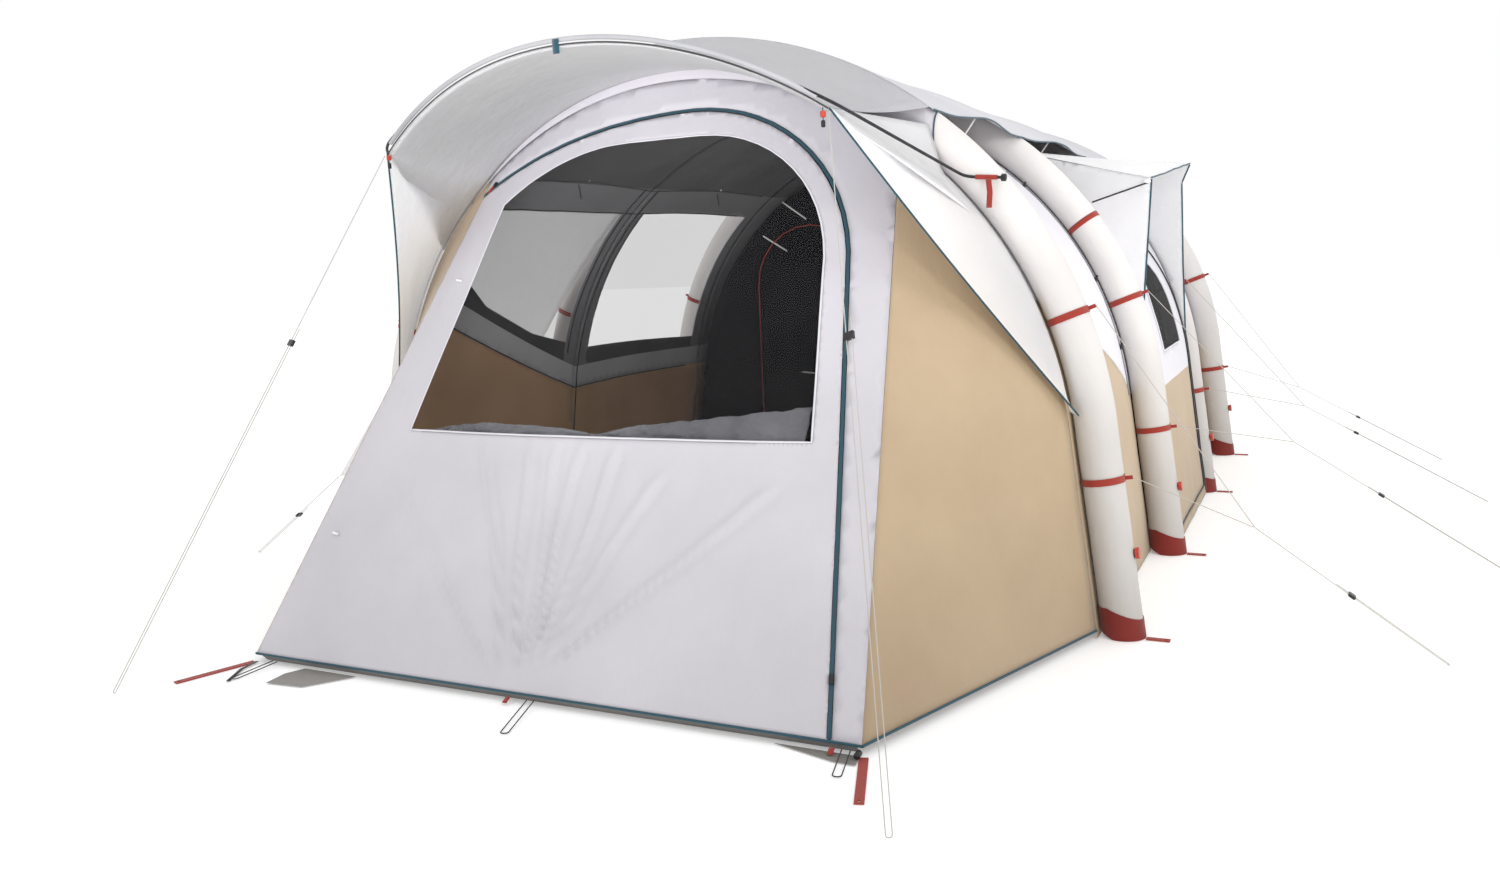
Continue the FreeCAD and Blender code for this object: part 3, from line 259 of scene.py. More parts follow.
def film(name, alpha, light, dark):
    """Window film with a faint ripple; the more alpha, the more it darkens what is behind."""
    material, tree, principled = shader(name, 0.08, **{"IOR": 1.15, "Alpha": alpha, "Specular IOR Level": 0.2})
    where = position(tree)
    haze = noise_node(tree, where, 3.0, 3.0)
    tint = ramp(tree, haze.outputs["Fac"], [(0.3, tone(dark)), (0.7, tone(light))])
    link(tree, tint, "Color", principled, "Base Color")
    bump(tree, principled, haze.outputs["Fac"], 0.15, 0.01)
    return material


def mesh_net(name, colour, cells=420.0, openness=0.35):
    """Fine net: mostly covered, with small holes."""
    material, tree, principled = shader(name, 0.8)
    where = position(tree)
    cell = tree.nodes.new("ShaderNodeTexVoronoi")
    cell.inputs["Scale"].default_value = cells
    link(tree, where, "Vector", cell, "Vector")
    shade = ramp(tree, cell.outputs["Distance"], [(0.1, tone(colour)), (0.8, tone("050506"))])
    link(tree, shade, "Color", principled, "Base Color")
    principled.inputs["Alpha"].default_value = 1.0 - openness
    return material


THIN = {"Subsurface Weight": 0.7, "Subsurface Scale": 0.02, "Subsurface Radius": (1.0, 1.0, 1.0)}
# Painted shade: tan cloth darker towards the ground.
FOOT_SHADE = [(0.0, (0.80, 0.79, 0.78)), (0.55, (0.97, 0.97, 0.97)), (1.0, (1.0, 1.0, 1.0))]
# Front and hood wrap: the white fly cloth painted darker, as painted shade on the sloping front.
FRONT_WHITE_SHADED = woven("front_white_shaded", "C9C6CC", "C1BEC4", stretch=(1, 1, 0.35))
WHITE = woven("white_fly", "DEDCE1", "D6D4DA", stretch=(1, 1, 0.35))
WHITE_UNDER = woven("white_hood", "EEEEF0", "E6E6E9", stretch=(0.5, 1, 0.5), **THIN)
# Hood top: the white hood cloth painted grey, as painted shade.
HOOD_TOP = woven("hood_top_shaded", "B4B4B9", "A8A8AD", **THIN)
ROOF = woven("roof_white", "C9C9CE", "C0C0C6")
WING = woven("wing_white", "F8F7FA", "F2F1F4", **THIN)
# Inside faces of the canopy: the white cloth painted grey, as painted shade under the canopy.
PORCH_INSIDE_SHADED = woven("porch_inside_shaded", "D4D4D7", "CACACD", **THIN)
# Tan skirts carry the painted shade, darker towards their foot.
TAN = woven("tan_fly", "BCA688", "B29C7F", stretch=(1, 1, 0.4), shade_tints=FOOT_SHADE)
# Beam sleeves: painted shade, darker towards the ground and lightest at the top.
SLEEVE = woven("beam_sleeve", "E0DDDB", "D6D2D0", thread=600.0, crease=0.35,
               shade_tints=[(0.1, (0.66, 0.65, 0.63)), (1.1, (0.95, 0.95, 0.94)), (1.8, (1.0, 1.0, 1.0))])
RED_WEB = webbing("red_webbing", "AA3524", "842114")
BLACK_WEB = webbing("black_webbing", "1C1C20", "2A2A2E")
BOOT = woven("boot_cloth", "7E1C10", "6C140B", thread=500.0, crease=0.3)
TEAL = webbing("teal_tape", "1F5566", "123744")
SEAM_GREY = webbing("seam_grey", "8E8E92", "77777B")
LINING_DARK = woven("lining_dark", "48484A", "3E3E40")
LINING_MID = woven("lining_mid", "7C7C7F", "707073")
LINING_BAND = woven("lining_band", "C6C6C8", "B8B8BB")
LINING_EDGE = woven("lining_edge", "444446", "38383A")
LINING_BROWN = woven("lining_brown", "CDA67E", "BF9870")
CABIN = woven("cabin_cloth", "161417", "111012", crease=0.3, roughness=0.95, sheen=0.0,
              **{"Specular IOR Level": 0.05})
# Mud flap: grey cloth, partly its own grey and partly painted shade under the lifted hem.
MUD_FLAP_SHADED = woven("mud_flap_shaded_cloth", "6C6864", "5A5652", thread=300.0)
GROUND = woven("groundsheet_weave", "8E8A85", "78746F", thread=250.0, crease=0.6, roughness=0.5)
SLEEVE_GREY = woven("pole_sleeve", "AEAEB1", "9A9A9E", thread=600.0)
CURTAIN = woven("curtain_grey", "7A7A7E", "4E4E54", crease=1.0)
AWNING = woven("awning_white", "FAFAFC", "F4F4F6", **{**THIN, "Subsurface Weight": 1.0})
FILM = film("window_film", 0.010, "D8D8DC", "B8B8BE")
PANES = {"front": film("pane_film_front", 0.26, "626264", "565658"),
         "middle": film("pane_film_middle", 0.20, "626264", "565658")}
NET = mesh_net("mesh_net", "202024")
BLACK = moulded("black_plastic", "16161A", "2A2A2E")
RED_PLASTIC = moulded("red_plastic", "B03420", "C2503A", 0.4)
WHITE_PLASTIC = moulded("white_plastic", "E4E4E2", "F2F2F0", 0.4)
POLE = moulded("pole_wrap", "101114", "2C2D30", 0.3)
ROPE = webbing("rope_braid", "C4C1B9", "A8A59C")
ELASTIC = webbing("elastic_braid", "26262A", "101013")


def paint(material, *names):
    """Gives CAD nodes a better material."""
    for name in names:
        materials = nodes[name].data.materials
        materials.clear()
        materials.append(material)


# ---------------------------------------------------------------- cloth builders
def make_object(name, vertices, faces, material, body, replaced=(), smooth=True):
    mesh = bpy.data.meshes.new(name)
    mesh.from_pydata([tuple(v) for v in vertices], [], faces)
    mesh.validate()
    mesh.materials.append(material)
    if smooth:
        mesh.shade_smooth()
    piece = bpy.data.objects.new(name, mesh)
    bpy.context.scene.collection.objects.link(piece)
    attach(piece, body)
    if replaced:
        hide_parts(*replaced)
    return piece


def thicken(piece, thickness, offset=-1.0):
    """Gives a sheet its thickness, inward from its outer face."""
    solidify = piece.modifiers.new("thickness", "SOLIDIFY")
    solidify.thickness = thickness
    solidify.offset = offset
    solidify.use_even_offset = False
    return piece


def wavy(point, size, seed, stretch=(1, 1, 1)):
    """Smooth noise from -1 to 1 about a point, longer along the axes with a small stretch."""
    where = Vector((point[0] * stretch[0], point[1] * stretch[1], point[2] * stretch[2])) / size
    return noise.noise(where + Vector((seed * 7.3, seed * 3.1, seed * 5.7)))


def grid_cloth(name, place, columns, rows, material, body, thickness=CLOTH_T, replaced=(), flip=False):
    """Cloth over a grid: place(u, v) gives the point for u and v from 0 to 1."""
    points = [place(i / columns, j / rows) for j in range(rows + 1) for i in range(columns + 1)]
    wide = columns + 1
    faces = []
    for j in range(rows):
        for i in range(columns):
            a = j * wide + i
            face = (a, a + 1, a + 1 + wide, a + wide)
            faces.append(face[::-1] if flip else face)
    piece = make_object(name, points, faces, material, body, replaced)
    return thicken(piece, thickness)


def inside(points, outline):
    """Which of the 2D points lie inside a closed outline."""
    x, y = points[:, 0], points[:, 1]
    result = np.zeros(len(points), bool)
    for (x0, y0), (x1, y1) in zip(outline, outline[1:] + outline[:1]):
        crosses = (y0 > y) != (y1 > y)
        if y1 != y0:
            result ^= crosses & (x < (x1 - x0) * (y - y0) / (y1 - y0) + x0)
    return result


def refine(outline, step, closed=True):
    """The outline with extra points, so that no side is longer than the step."""
    result = []
    ends = outline[1:] + (outline[:1] if closed else [])
    for (x0, y0), (x1, y1) in zip(outline, ends):
        count = max(1, math.ceil(math.hypot(x1 - x0, y1 - y0) / step))
        result += [(x0 + (x1 - x0) * k / count, y0 + (y1 - y0) * k / count) for k in range(count)]
    return result if closed else result + outline[-1:]


def cut_cloth(name, outline, holes, step, place, material, body, thickness=CLOTH_T, replaced=(), flip=False,
              lines=()):
    """Cloth cut to an outline with holes in a flat pattern, which place(a, b) lays on its surface."""
    loops = [refine(loop, step) for loop in [outline] + holes]
    points = [p for loop in loops for p in loop]
    edges, start = [], 0
    for loop in loops:
        edges += [(start + k, start + (k + 1) % len(loop)) for k in range(len(loop))]
        start += len(loop)
    for line in lines:
        line = refine(line, step, closed=False)
        edges += [(start + k, start + k + 1) for k in range(len(line) - 1)]
        points += line
        start += len(line)
    low, high = np.min(outline, 0), np.max(outline, 0)
    rows = int((high[1] - low[1]) / (step * 0.87)) + 1
    columns = int((high[0] - low[0]) / step) + 1
    inner = np.array([(low[0] + (i + 0.5 * (j % 2)) * step, low[1] + j * step * 0.87)
                      for j in range(rows) for i in range(columns)])
    keep = inside(inner, outline)
    for hole in holes:
        keep &= ~inside(inner, hole)
    rim = np.array(points)
    inner = inner[keep]
    clear = np.array([np.min(np.hypot(rim[:, 0] - p[0], rim[:, 1] - p[1])) > step * 0.45 for p in inner])
    inner = inner[clear] if len(inner) else inner
    flat = [Vector(p) for p in points] + [Vector((float(p[0]), float(p[1]))) for p in inner]
    found, _, triangles, *_ = delaunay_2d_cdt(flat, edges, [], 0, 1e-7)
    centres = np.array([sum((found[k] for k in t), Vector((0, 0))) / 3 for t in triangles])
    wanted = inside(centres, outline)
    for hole in holes:
        wanted &= ~inside(centres, hole)
    faces = [tuple(t)[::-1] if flip else tuple(t) for t, use in zip(triangles, wanted) if use]
    piece = make_object(name, [place(p.x, p.y) for p in found], faces, material, body, replaced)
    return thicken(piece, thickness)


def ribbon(name, path, across, width, material, body, thickness=0.0015):
    """Flat tape along a path of points; across(k) gives its sideways direction at a point."""
    vertices, faces = [], []
    for k, point in enumerate(path):
        side = across(k).normalized() * (width / 2)
        vertices += [point - side, point + side]
    for k in range(len(path) - 1):
        faces.append((2 * k, 2 * k + 1, 2 * k + 3, 2 * k + 2))
    return thicken(make_object(name, vertices, faces, material, body), thickness, 0.0)


def piping(name, path, radius, material, body="tent", order=0):
    """Round bead along a path of points, or a smooth NURBS cord through them when it has an order."""
    curve = bpy.data.curves.new(name, "CURVE")
    curve.dimensions = "3D"
    curve.bevel_depth = radius
    curve.bevel_resolution = 3 if order else 2
    curve.use_fill_caps = True
    spline = curve.splines.new("NURBS" if order else "POLY")
    spline.points.add(len(path) - 1)
    for point, place in zip(spline.points, path):
        point.co = (*place, 1)
    if order:
        curve.resolution_u = 24
        spline.order_u = order
        spline.use_endpoint_u = True
    curve.materials.append(material)
    piece = bpy.data.objects.new(name, curve)
    bpy.context.scene.collection.objects.link(piece)
    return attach(piece, body)


# ---------------------------------------------------------------- camera, light and floor
CAMERA_PLACE = (2.383, -6.347, 1.406)
AZIMUTH, ELEVATION, ROLL = 0.464601, 0.149991, -0.0422
LENS, SENSOR = 28.28, 36.0
FLOOR_REACH = 60.0


def camera():
    azimuth, elevation, roll = AZIMUTH, ELEVATION, ROLL
    back = Vector((math.sin(azimuth) * math.cos(elevation), -math.cos(azimuth) * math.cos(elevation),
                   math.sin(elevation)))
    right = (-back).cross(Vector((0, 0, 1))).normalized()
    up = right.cross(-back)
    tilted_right = math.cos(roll) * right + math.sin(roll) * up
    tilted_up = -math.sin(roll) * right + math.cos(roll) * up
    data = bpy.data.cameras.new("camera")
    data.lens = LENS
    data.sensor_width = SENSOR
    data.sensor_fit = "HORIZONTAL"
    view = bpy.data.objects.new("camera", data)
    bpy.context.scene.collection.objects.link(view)
    turn = Matrix((tilted_right, tilted_up, back)).transposed()
    view.matrix_world = Matrix.Translation(CAMERA_PLACE) @ turn.to_4x4()
    bpy.context.scene.camera = view


def lamp(name, kind, place, target, power, **settings):
    """Light aimed at a target; settings are the light's own values."""
    data = bpy.data.lights.new(name, kind)
    data.energy = power
    for label, value in settings.items():
        setattr(data, label, value)
    made = bpy.data.objects.new(name, data)
    bpy.context.scene.collection.objects.link(made)
    made.location = place
    made.rotation_euler = (Vector(target) - Vector(place)).to_track_quat("-Z", "Y").to_euler()
    return made


def spot(name, place, target, power, angle, size):
    """Soft spot light with a wide blend, kept out of reflections."""
    made = lamp(name, "SPOT", place, target, power, spot_size=math.radians(angle), spot_blend=1.0,
                shadow_soft_size=size)
    made.visible_glossy = False


def studio():
    world = bpy.data.worlds.new("studio")
    world.use_nodes = True
    background = next(n for n in world.node_tree.nodes if n.type == "BACKGROUND")
    background.inputs["Color"].default_value = (1.0, 1.0, 1.0, 1.0)
    background.inputs["Strength"].default_value = 1.0
    bpy.context.scene.world = world
    lamp("key", "AREA", (6.5, -4.5, 7.0), (0, -1.0, 0.8), 110, shape="DISK", size=4.0)
    spot("porch_fill", (2.3, -7.6, 0.8), (-0.05, -2.5, 2.0), 1350, 30, 0.9)
    spot("inner_fill", (0.85, -1.3, 1.15), (-1.2, -0.9, 0.95), 22, 130, 0.4)
    spot("side_fill", (7.2, -6.6, 2.2), (1.35, -0.6, 1.35), 1050, 27, 0.9)
    bpy.context.scene.view_settings.view_transform = "Standard"
    mesh = bpy.data.meshes.new("floor")
    corners = [(x * FLOOR_REACH, y * FLOOR_REACH, 0) for x, y in ((-1, -1), (1, -1), (1, 1), (-1, 1))]
    mesh.from_pydata(corners, [], [(0, 1, 2, 3)])
    floor = bpy.data.objects.new("floor", mesh)
    floor.location.z = -0.002
    bpy.context.scene.collection.objects.link(floor)
    material, tree, principled = shader("floor_paint", 0.9, **{"Emission Strength": 0.25})
    principled.inputs["Base Color"].default_value = (0.86, 0.86, 0.86, 1)
    principled.inputs["Emission Color"].default_value = (1, 1, 1, 1)
    mesh.materials.append(material)


# ---------------------------------------------------------------- ropes
ROPE_D, ELASTIC_D = 0.003, 0.004
STRAND = 0.020
NEAR = 6 * ROPE_D
GROUND_Z = 0.004


def strap_eye(number, height):
    """Where a rope leaves a strap's lug on the right side."""
    x, z, _ = arch(u_at_height(height), BEAM_R + 0.0296)
    return Vector((x, BEAM_Y[number - 1], z))


def guy(node, lead, loop, share, across):
    """A taut rope: from its lead points to the ground loop and back up through its runner."""
    turn = lead[-1]
    down = (loop - turn).normalized()
    across = (across - down * across.dot(down)).normalized() * STRAND
    at = turn + (loop - turn) * share
    points = [lead[0]]
    if len(lead) > 1:
        arriving = (lead[1] - lead[0]).normalized()
        points += [lead[1] - arriving * NEAR, lead[1], lead[1] + down * NEAR]
    points += [loop - down * NEAR, loop, loop + across, loop + across - down * NEAR, at + across - down * 0.060]
    piece = piping(node + "_rope", points, ROPE_D / 2, ROPE, order=3)
    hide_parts(node)
    return piece


BRIDLES = [
    (1, (2.153, 0.429), 2.748, 0.51, 2.102, 0.431),
    (2, (2.232, 0.530), 3.053, 0.42, 2.523, 0.483),
    (3, (2.241, 0.496), 3.122, 0.29, 2.739, 0.498),
    (4, (2.180, 0.453), 3.000, 0.42, 2.485, 0.449),
]


def ropes():
    for number, (jx, jz), ground_x, share, length, branch_length in BRIDLES:
        y = BEAM_Y[number - 1]
        junction = Vector((jx, y, jz))
        guy("guy_right_%d" % number, [strap_eye(number, STRAP_HIGH_Z), junction], Vector((ground_x, y, GROUND_Z)),
            share, Vector((0, 1, 0)))
        low = strap_eye(number, STRAP_LOW_Z)
        end = junction - (junction - low).normalized() * 0.005
        branch = piping("bridle_%d" % number, [low, low.lerp(end, 0.5), end], ROPE_D / 2, ROPE, order=3)
        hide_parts("bridle_branches")
    for side, name in SIDES:
        tip = Vector((side * 0.924, BEAM_Y[0] - 0.745, 1.869))
        guy("guy_hood_" + name, [tip], Vector((side * 1.435, BEAM_Y[0] - 1.769, GROUND_Z)), 0.37,
            Vector((1, -0.3, 0)))
    corner = Vector((-2.204, BEAM_Y[0] + 0.100, 0.400))
    guy("guy_awning", [corner], Vector((-2.667, BEAM_Y[0] - 0.060, GROUND_Z)), 0.5, Vector((0, 1, 0)))


LOOPS = [
    ("left", -1.120, -0.15, 0.170, 0.357),
    ("middle", 0.040, 0.3, 0.240, 0.497),
    ("right", 1.150, 0.2, 0.150, 0.317),
]


def elastics():
    """Elastic loops at the middle and the corners of the front hem."""
    for name, x, lean, reach, length in LOOPS:
        start = Vector((x, FRONT_HEM_Y - 0.006, 0.016))
        away = Vector((lean, -1, 0)).normalized()
        loop = start + away * reach
        loop.z = 0.003
        across = Vector((-away.y, away.x, 0)) * 0.026
        down = (loop - start).normalized()
        near = down * 0.024
        points = [start, loop - near, loop, loop + across, loop + across - near, start + across]
        piece = piping("hem_elastic_" + name, points, ELASTIC_D / 2, ELASTIC, order=3)
        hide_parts("hem_elastics")


camera()
studio()
ropes()
elastics()


# ---------------------------------------------------------------- air beams, boots, webbing and valves
STRAP_AT = [u_at_height(STRAP_LOW_Z), u_at_height(STRAP_HIGH_Z)]


def beam_skin(number):
    """Inflated sleeve: pinched at its straps, faintly puckered, with a sewn seam along the inner front."""
    y = BEAM_Y[number - 1]
    half = ROUND + LEG - 0.0225
    rows, around = 300, 40
    vertices, faces = [], []
    for i in range(rows + 1):
        u = -half + 2 * half * i / rows
        x, z, normal = arch(u)
        pinch = sum(math.exp(-((abs(u) - at) / 0.016) ** 2) for at in STRAP_AT)
        for k in range(around):
            turn = 2 * math.pi * k / around
            across = Vector((normal[0] * math.cos(turn), math.sin(turn), normal[1] * math.cos(turn)))
            pucker = 0.0009 * wavy((u, turn * 0.3, number), 0.05, number)
            pucker += 0.0008 * wavy((u, turn * 0.2, 3), 0.16, 2)
            seam = 0.0012 * math.exp(-((turn - 4.0) / 0.05) ** 2)
            radius = BEAM_R - 0.0004 - 0.0014 * pinch + pucker + seam
            vertices.append(Vector((x, y, z)) + across * radius)
    for i in range(rows):
        for k in range(around):
            a, b = i * around + k, i * around + (k + 1) % around
            faces.append((a, b, b + around, a + around))
    faces.append(tuple(range(around))[::-1])
    faces.append(tuple(rows * around + k for k in range(around)))
    piece = make_object("beam_skin_%d" % number, vertices, faces, SLEEVE, "tent", ["air_beam_%d" % number])


def beams():
    for number in (1, 2, 3, 4):
        beam_skin(number)
    paint(BOOT, "beam_boots")
    paint(RED_WEB, "peg_tabs", "beam_straps", "pole_brackets")
    paint(WHITE_PLASTIC, "vent_struts")
    paint(POLE, "visor_pole", "canopy_pole")
    paint(RED_PLASTIC, *["valve_cap_%d" % number for number in (1, 2, 3, 4)])
    paint(BLACK, "valve_rings", *[name for name in nodes if name.startswith("runner_")])


# ---------------------------------------------------------------- fly over the tunnel
TAN_Z, TAN_Z_FRONT = 0.735, 1.215
BAYS = [("front", FRONT_Y + 0.006, BEAM_Y[1]), ("middle", BEAM_Y[1], BEAM_Y[2]),
        ("rear", BEAM_Y[2], REAR_Y - 0.006)]
INSIDE_ROOF_Z, WINDOW_TOP_Z, BAND = 1.815, 1.69, 0.12
DOOR_BAY = (-0.663, 0.663, 1.600)
WINDOWS = {
    "front": [(BEAM_Y[0] + 0.110, 1.410), (BEAM_Y[0] + 0.420, 1.230), (BEAM_Y[1] - 0.400, 1.060),
              (BEAM_Y[1] - 0.110, 1.000), (BEAM_Y[1] - 0.110, WINDOW_TOP_Z), (BEAM_Y[0] + 0.110, WINDOW_TOP_Z)],
    "middle": [(BEAM_Y[1] + 0.130, 0.955), (BEAM_Y[2] - 0.120, 0.925), (BEAM_Y[2] - 0.120, WINDOW_TOP_Z),
               (BEAM_Y[1] + 0.130, WINDOW_TOP_Z)],
}


def tan_line(y):
    """Height of the seam between tan skirt and white fly."""
    if y >= BEAM_Y[1]:
        return TAN_Z
    return TAN_Z + (TAN_Z_FRONT - TAN_Z) * (BEAM_Y[1] - y) / (BEAM_Y[1] - BEAM_Y[0])


def fly_place(u, y):
    """Fly cloth between the beams: held at each beam and standing a little out in the middle of a bay."""
    share = 0.0
    for start, end in zip(BEAM_Y, BEAM_Y[1:]):
        if start < y < end:
            share = math.sin(math.pi * (y - start) / (end - start))
    side = min(1.0, max(0.0, (abs(u) - 1.0) / 0.6))
    x, z, normal = arch(u, FLY)
    fade = min(1.0, abs(share) * 2)
    grounded = min(1.0, z / 0.25)
    if u < 0 and y < BEAM_Y[1]:
        grounded *= 1.0 - 0.85 * min(1.0, max(0.0, (z - 1.15) / 0.25))
    out = (0.010 + 0.030 * side) * share * grounded
    out += 0.004 * fade * wavy((u, y, 0), 0.22, 1, (0.5, 1, 1)) + 0.0015 * wavy((u, y, 0), 0.07, 4)
    return Vector((x + normal[0] * out, y, max(0.001, z + normal[1] * out)))


def side_line(height, y0, y1, side, steps=8):
    """Line along a wall at a height, given by a function of y, as (u, y) points."""
    ys = [y0 + (y1 - y0) * k / steps for k in range(steps + 1)]
    return [(side * u_at_height(height(y), FLY), y) for y in ys]


def two_faced(piece, pairs, zone=lambda centre: 0):
    """Different cloth colours outside and inside: pairs of materials, chosen by a face's centre."""
    mesh = piece.data
    mesh.materials.clear()
    for outside, inside_face in pairs:
        mesh.materials.append(outside)
        mesh.materials.append(inside_face)
    for face in mesh.polygons:
        face.material_index = 2 * zone(face.center)
    piece.modifiers["thickness"].material_offset = 1


def flat_height(point):
    """Height on the arch itself of a point that stands off the fly's line."""
    across, up = abs(point.x), point.z - ARCH_Z
    if math.atan2(up, across) > LEAN:
        radius = math.hypot(across, up)
        return point.z - (radius - ARCH_R - FLY) * up / radius
    out = across * math.cos(LEAN) + up * math.sin(LEAN) - ARCH_R - FLY
    return point.z - out * math.sin(LEAN)


def lining_zone(centre):
    """Which pair of cloths a face of the fly has: roof, wall, pale band over the tan, dark edge of a window."""
    height = flat_height(centre)
    if height > INSIDE_ROOF_Z:
        return 0
    if centre.x > 0:
        return 1
    if height < tan_line(centre.y) + BAND:
        return 2
    for outline in WINDOWS.values():
        sill = [p for p in outline if p[1] < WINDOW_TOP_Z]
        ys, zs = [p[0] for p in sill], [p[1] for p in sill]
        if ys[0] < centre.y < ys[-1] and height < (np.interp(centre.y, ys, zs) + WINDOW_TOP_Z) / 2:
            return 3
    return 1


def fly():
    """White upper panels with their inner colours, the clear panes, and the tan skirts."""
    for name, y0, y1 in BAYS:
        right = side_line(tan_line, y0, y1, 1)
        left = side_line(tan_line, y1, y0, -1)
        outline, holes = right + left, []
        if name == "middle":
            top = u_at_height(DOOR_BAY[2], FLY)
            low = u_at_height(TAN_Z, FLY)
            right = [(low, y0), (low, DOOR_BAY[0]), (top, DOOR_BAY[0])]
            right += [(top, DOOR_BAY[1]), (low, DOOR_BAY[1]), (low, y1)]
            outline = right + left
        if name in WINDOWS:
            holes = [[(-u_at_height(z, FLY), y) for y, z in WINDOWS[name]]]
        lines = [side_line(lambda y: INSIDE_ROOF_Z, y0, y1, side) for side in (1, -1)]
        lines += [side_line(lambda y: tan_line(y) + BAND, y0, y1, -1)]
        piece = cut_cloth("fly_%s_cloth" % name, outline, holes, 0.045, fly_place, WHITE, "tent", CLOTH_T,
                          ["fly_" + name], lines=lines)
        linings = (LINING_DARK, LINING_MID, LINING_BAND, LINING_EDGE)
        two_faced(piece, [(WHITE, lining) for lining in linings], lining_zone)
        2 * u_at_height(tan_line(y0), FLY)
    for side, label in SIDES:
        for name, y0, y1 in BAYS:
            if side == 1 and name == "middle":
                continue
            foot = [(side * u_at_height(0.003, FLY), y) for y in (y1, y0)]
            piece = cut_cloth("skirt_%s_%s" % (label, name), side_line(tan_line, y0, y1, side) + foot, [], 0.05,
                              fly_place, TAN, "tent", CLOTH_T, ["skirts_" + label])
            two_faced(piece, [(TAN, LINING_BROWN)])
    for name, window in WINDOWS.items():
        outline = [(-u_at_height(z, FLY), y) for y, z in window]
        pane = cut_cloth("pane_%s" % name, outline, [], 0.06, fly_place, PANES[name], "tent", FILM_T,
                         ["left_windows"], flip=True)


VENT_LIFT = 0.040
COVER_HALF = u_at_x(1.056, COVER)


def cover_place(u, y):
    """Roof cover: tight over each beam, a little slack between them, with its edge lifted at each vent."""
    share, lift = 0.0, 0.0
    for number, (start, end) in enumerate(zip(BEAM_Y, BEAM_Y[1:])):
        if start < y < end:
            share = math.sin(math.pi * (y - start) / (end - start))
            lift = VENT_LIFT * share ** 3 if number < 2 else 0.0
    side = min(1.0, abs(u) / COVER_HALF)
    x, z, normal = arch(u, COVER)
    out = lift * side ** 6 - 0.012 * share
    out += 0.0025 * share * wavy((u, y, 0), 0.25, 8) + 0.001 * wavy((u, y, 0), 0.08, 3)
    return Vector((x + normal[0] * out, y, z + normal[1] * out))


def roof():
    half = COVER_HALF
    y0, y1 = BEAM_Y[0] - 0.062, BEAM_Y[3] + 0.062
    piece = grid_cloth("roof_cover_cloth",
                       lambda a, b: cover_place(-half + 2 * half * a, y0 + (y1 - y0) * b),
                       56, 110, ROOF, "tent", 0.0018, ["roof_cover"])
    for side, label in SIDES:
        edge = [cover_place(side * half, y0 + (y1 - y0) * k / 90) for k in range(91)]
        piping("roof_edge_" + label, edge, 0.0035, TEAL)


# ---------------------------------------------------------------- sloping front
def front_y(x, z):
    """Y of the front cloth: straight lines from the hem to the fly's front arch."""
    share_top = TOP_HALF / HEM_HALF
    hem_x, rise = x, 0.0
    for _ in range(25):
        rise = (z - HEM_Z) / (arch_z(share_top * hem_x, FLY) - HEM_Z)
        hem_x = x / (1 - rise + rise * share_top)
    return FRONT_HEM_Y + (FRONT_Y - FRONT_HEM_Y) * rise


def seam_x(z):
    """Half-width of the front's middle panel at a height, along its side seams."""
    return HEM_HALF - (HEM_HALF - TOP_HALF) * (z - HEM_Z) / (arch_z(TOP_HALF, FLY) - HEM_Z)


def crown_arc(crown, end, count=14):
    """Points of the arc that leaves a crown level and ends at a lower point, the crown left out."""
    across, down = end[0] - crown[0], crown[1] - end[1]
    radius = (across ** 2 + down ** 2) / (2 * down)
    half = math.asin(across / radius)
    turns = [half * k / count for k in range(1, count + 1)]
    return [(crown[0] + radius * math.sin(t), crown[1] - radius * (1 - math.cos(t))) for t in turns]


def zip_x(z):
    """The zip's straight right side."""
    rise = (z - ZIP_FOOT[1]) / (RIGHT_SHOULDER[1] - ZIP_FOOT[1])
    return ZIP_FOOT[0] + (RIGHT_SHOULDER[0] - ZIP_FOOT[0]) * rise


def door_edge(grow=0.0):
    """The door's free edge from the hem up the right side, over the crown and to the left seam."""
    crown = (CROWN[0], CROWN[1] + grow)
    right = (RIGHT_SHOULDER[0] + grow, RIGHT_SHOULDER[1])
    left = (-seam_x(LEFT_SHOULDER[1] + grow), LEFT_SHOULDER[1] + grow)
    points = [(zip_x(HEM_Z) + grow, HEM_Z)]
    points += crown_arc(crown, right)[::-1] + [crown] + crown_arc(crown, left)
    return points


def window_loop(grow=0.0):
    sill = 0.815 - grow
    right, left = (0.775 + grow, 1.350), (-0.747 - grow, 1.683)
    top_right, top_left = (0.180, 1.892 + grow), (-0.150, 1.892 + grow)
    loop = [(-0.835 - grow, sill), (0.862 + grow, sill)] + crown_arc(top_right, right)[::-1]
    return loop + [top_right, top_left] + crown_arc(top_left, left)


FOLDS = [((-0.442, 0.80), (-0.06, 0.05), 0.020, 0.9), ((-0.238, 0.80), (-0.03, 0.06), 0.018, 1.0),
         ((-0.105, 0.80), (0.00, 0.08), 0.016, 0.8), ((-0.007, 0.80), (0.02, 0.10), 0.016, 1.0),
         ((0.152, 0.80), (0.04, 0.08), 0.020, 0.9), ((0.344, 0.719), (0.06, 0.12), 0.022, 0.8),
         ((0.768, 0.692), (0.08, 0.10), 0.026, 0.9), ((-0.80, 0.62), (-0.12, 0.07), 0.028, 0.7)]
FOLD_HEIGHT = 0.015


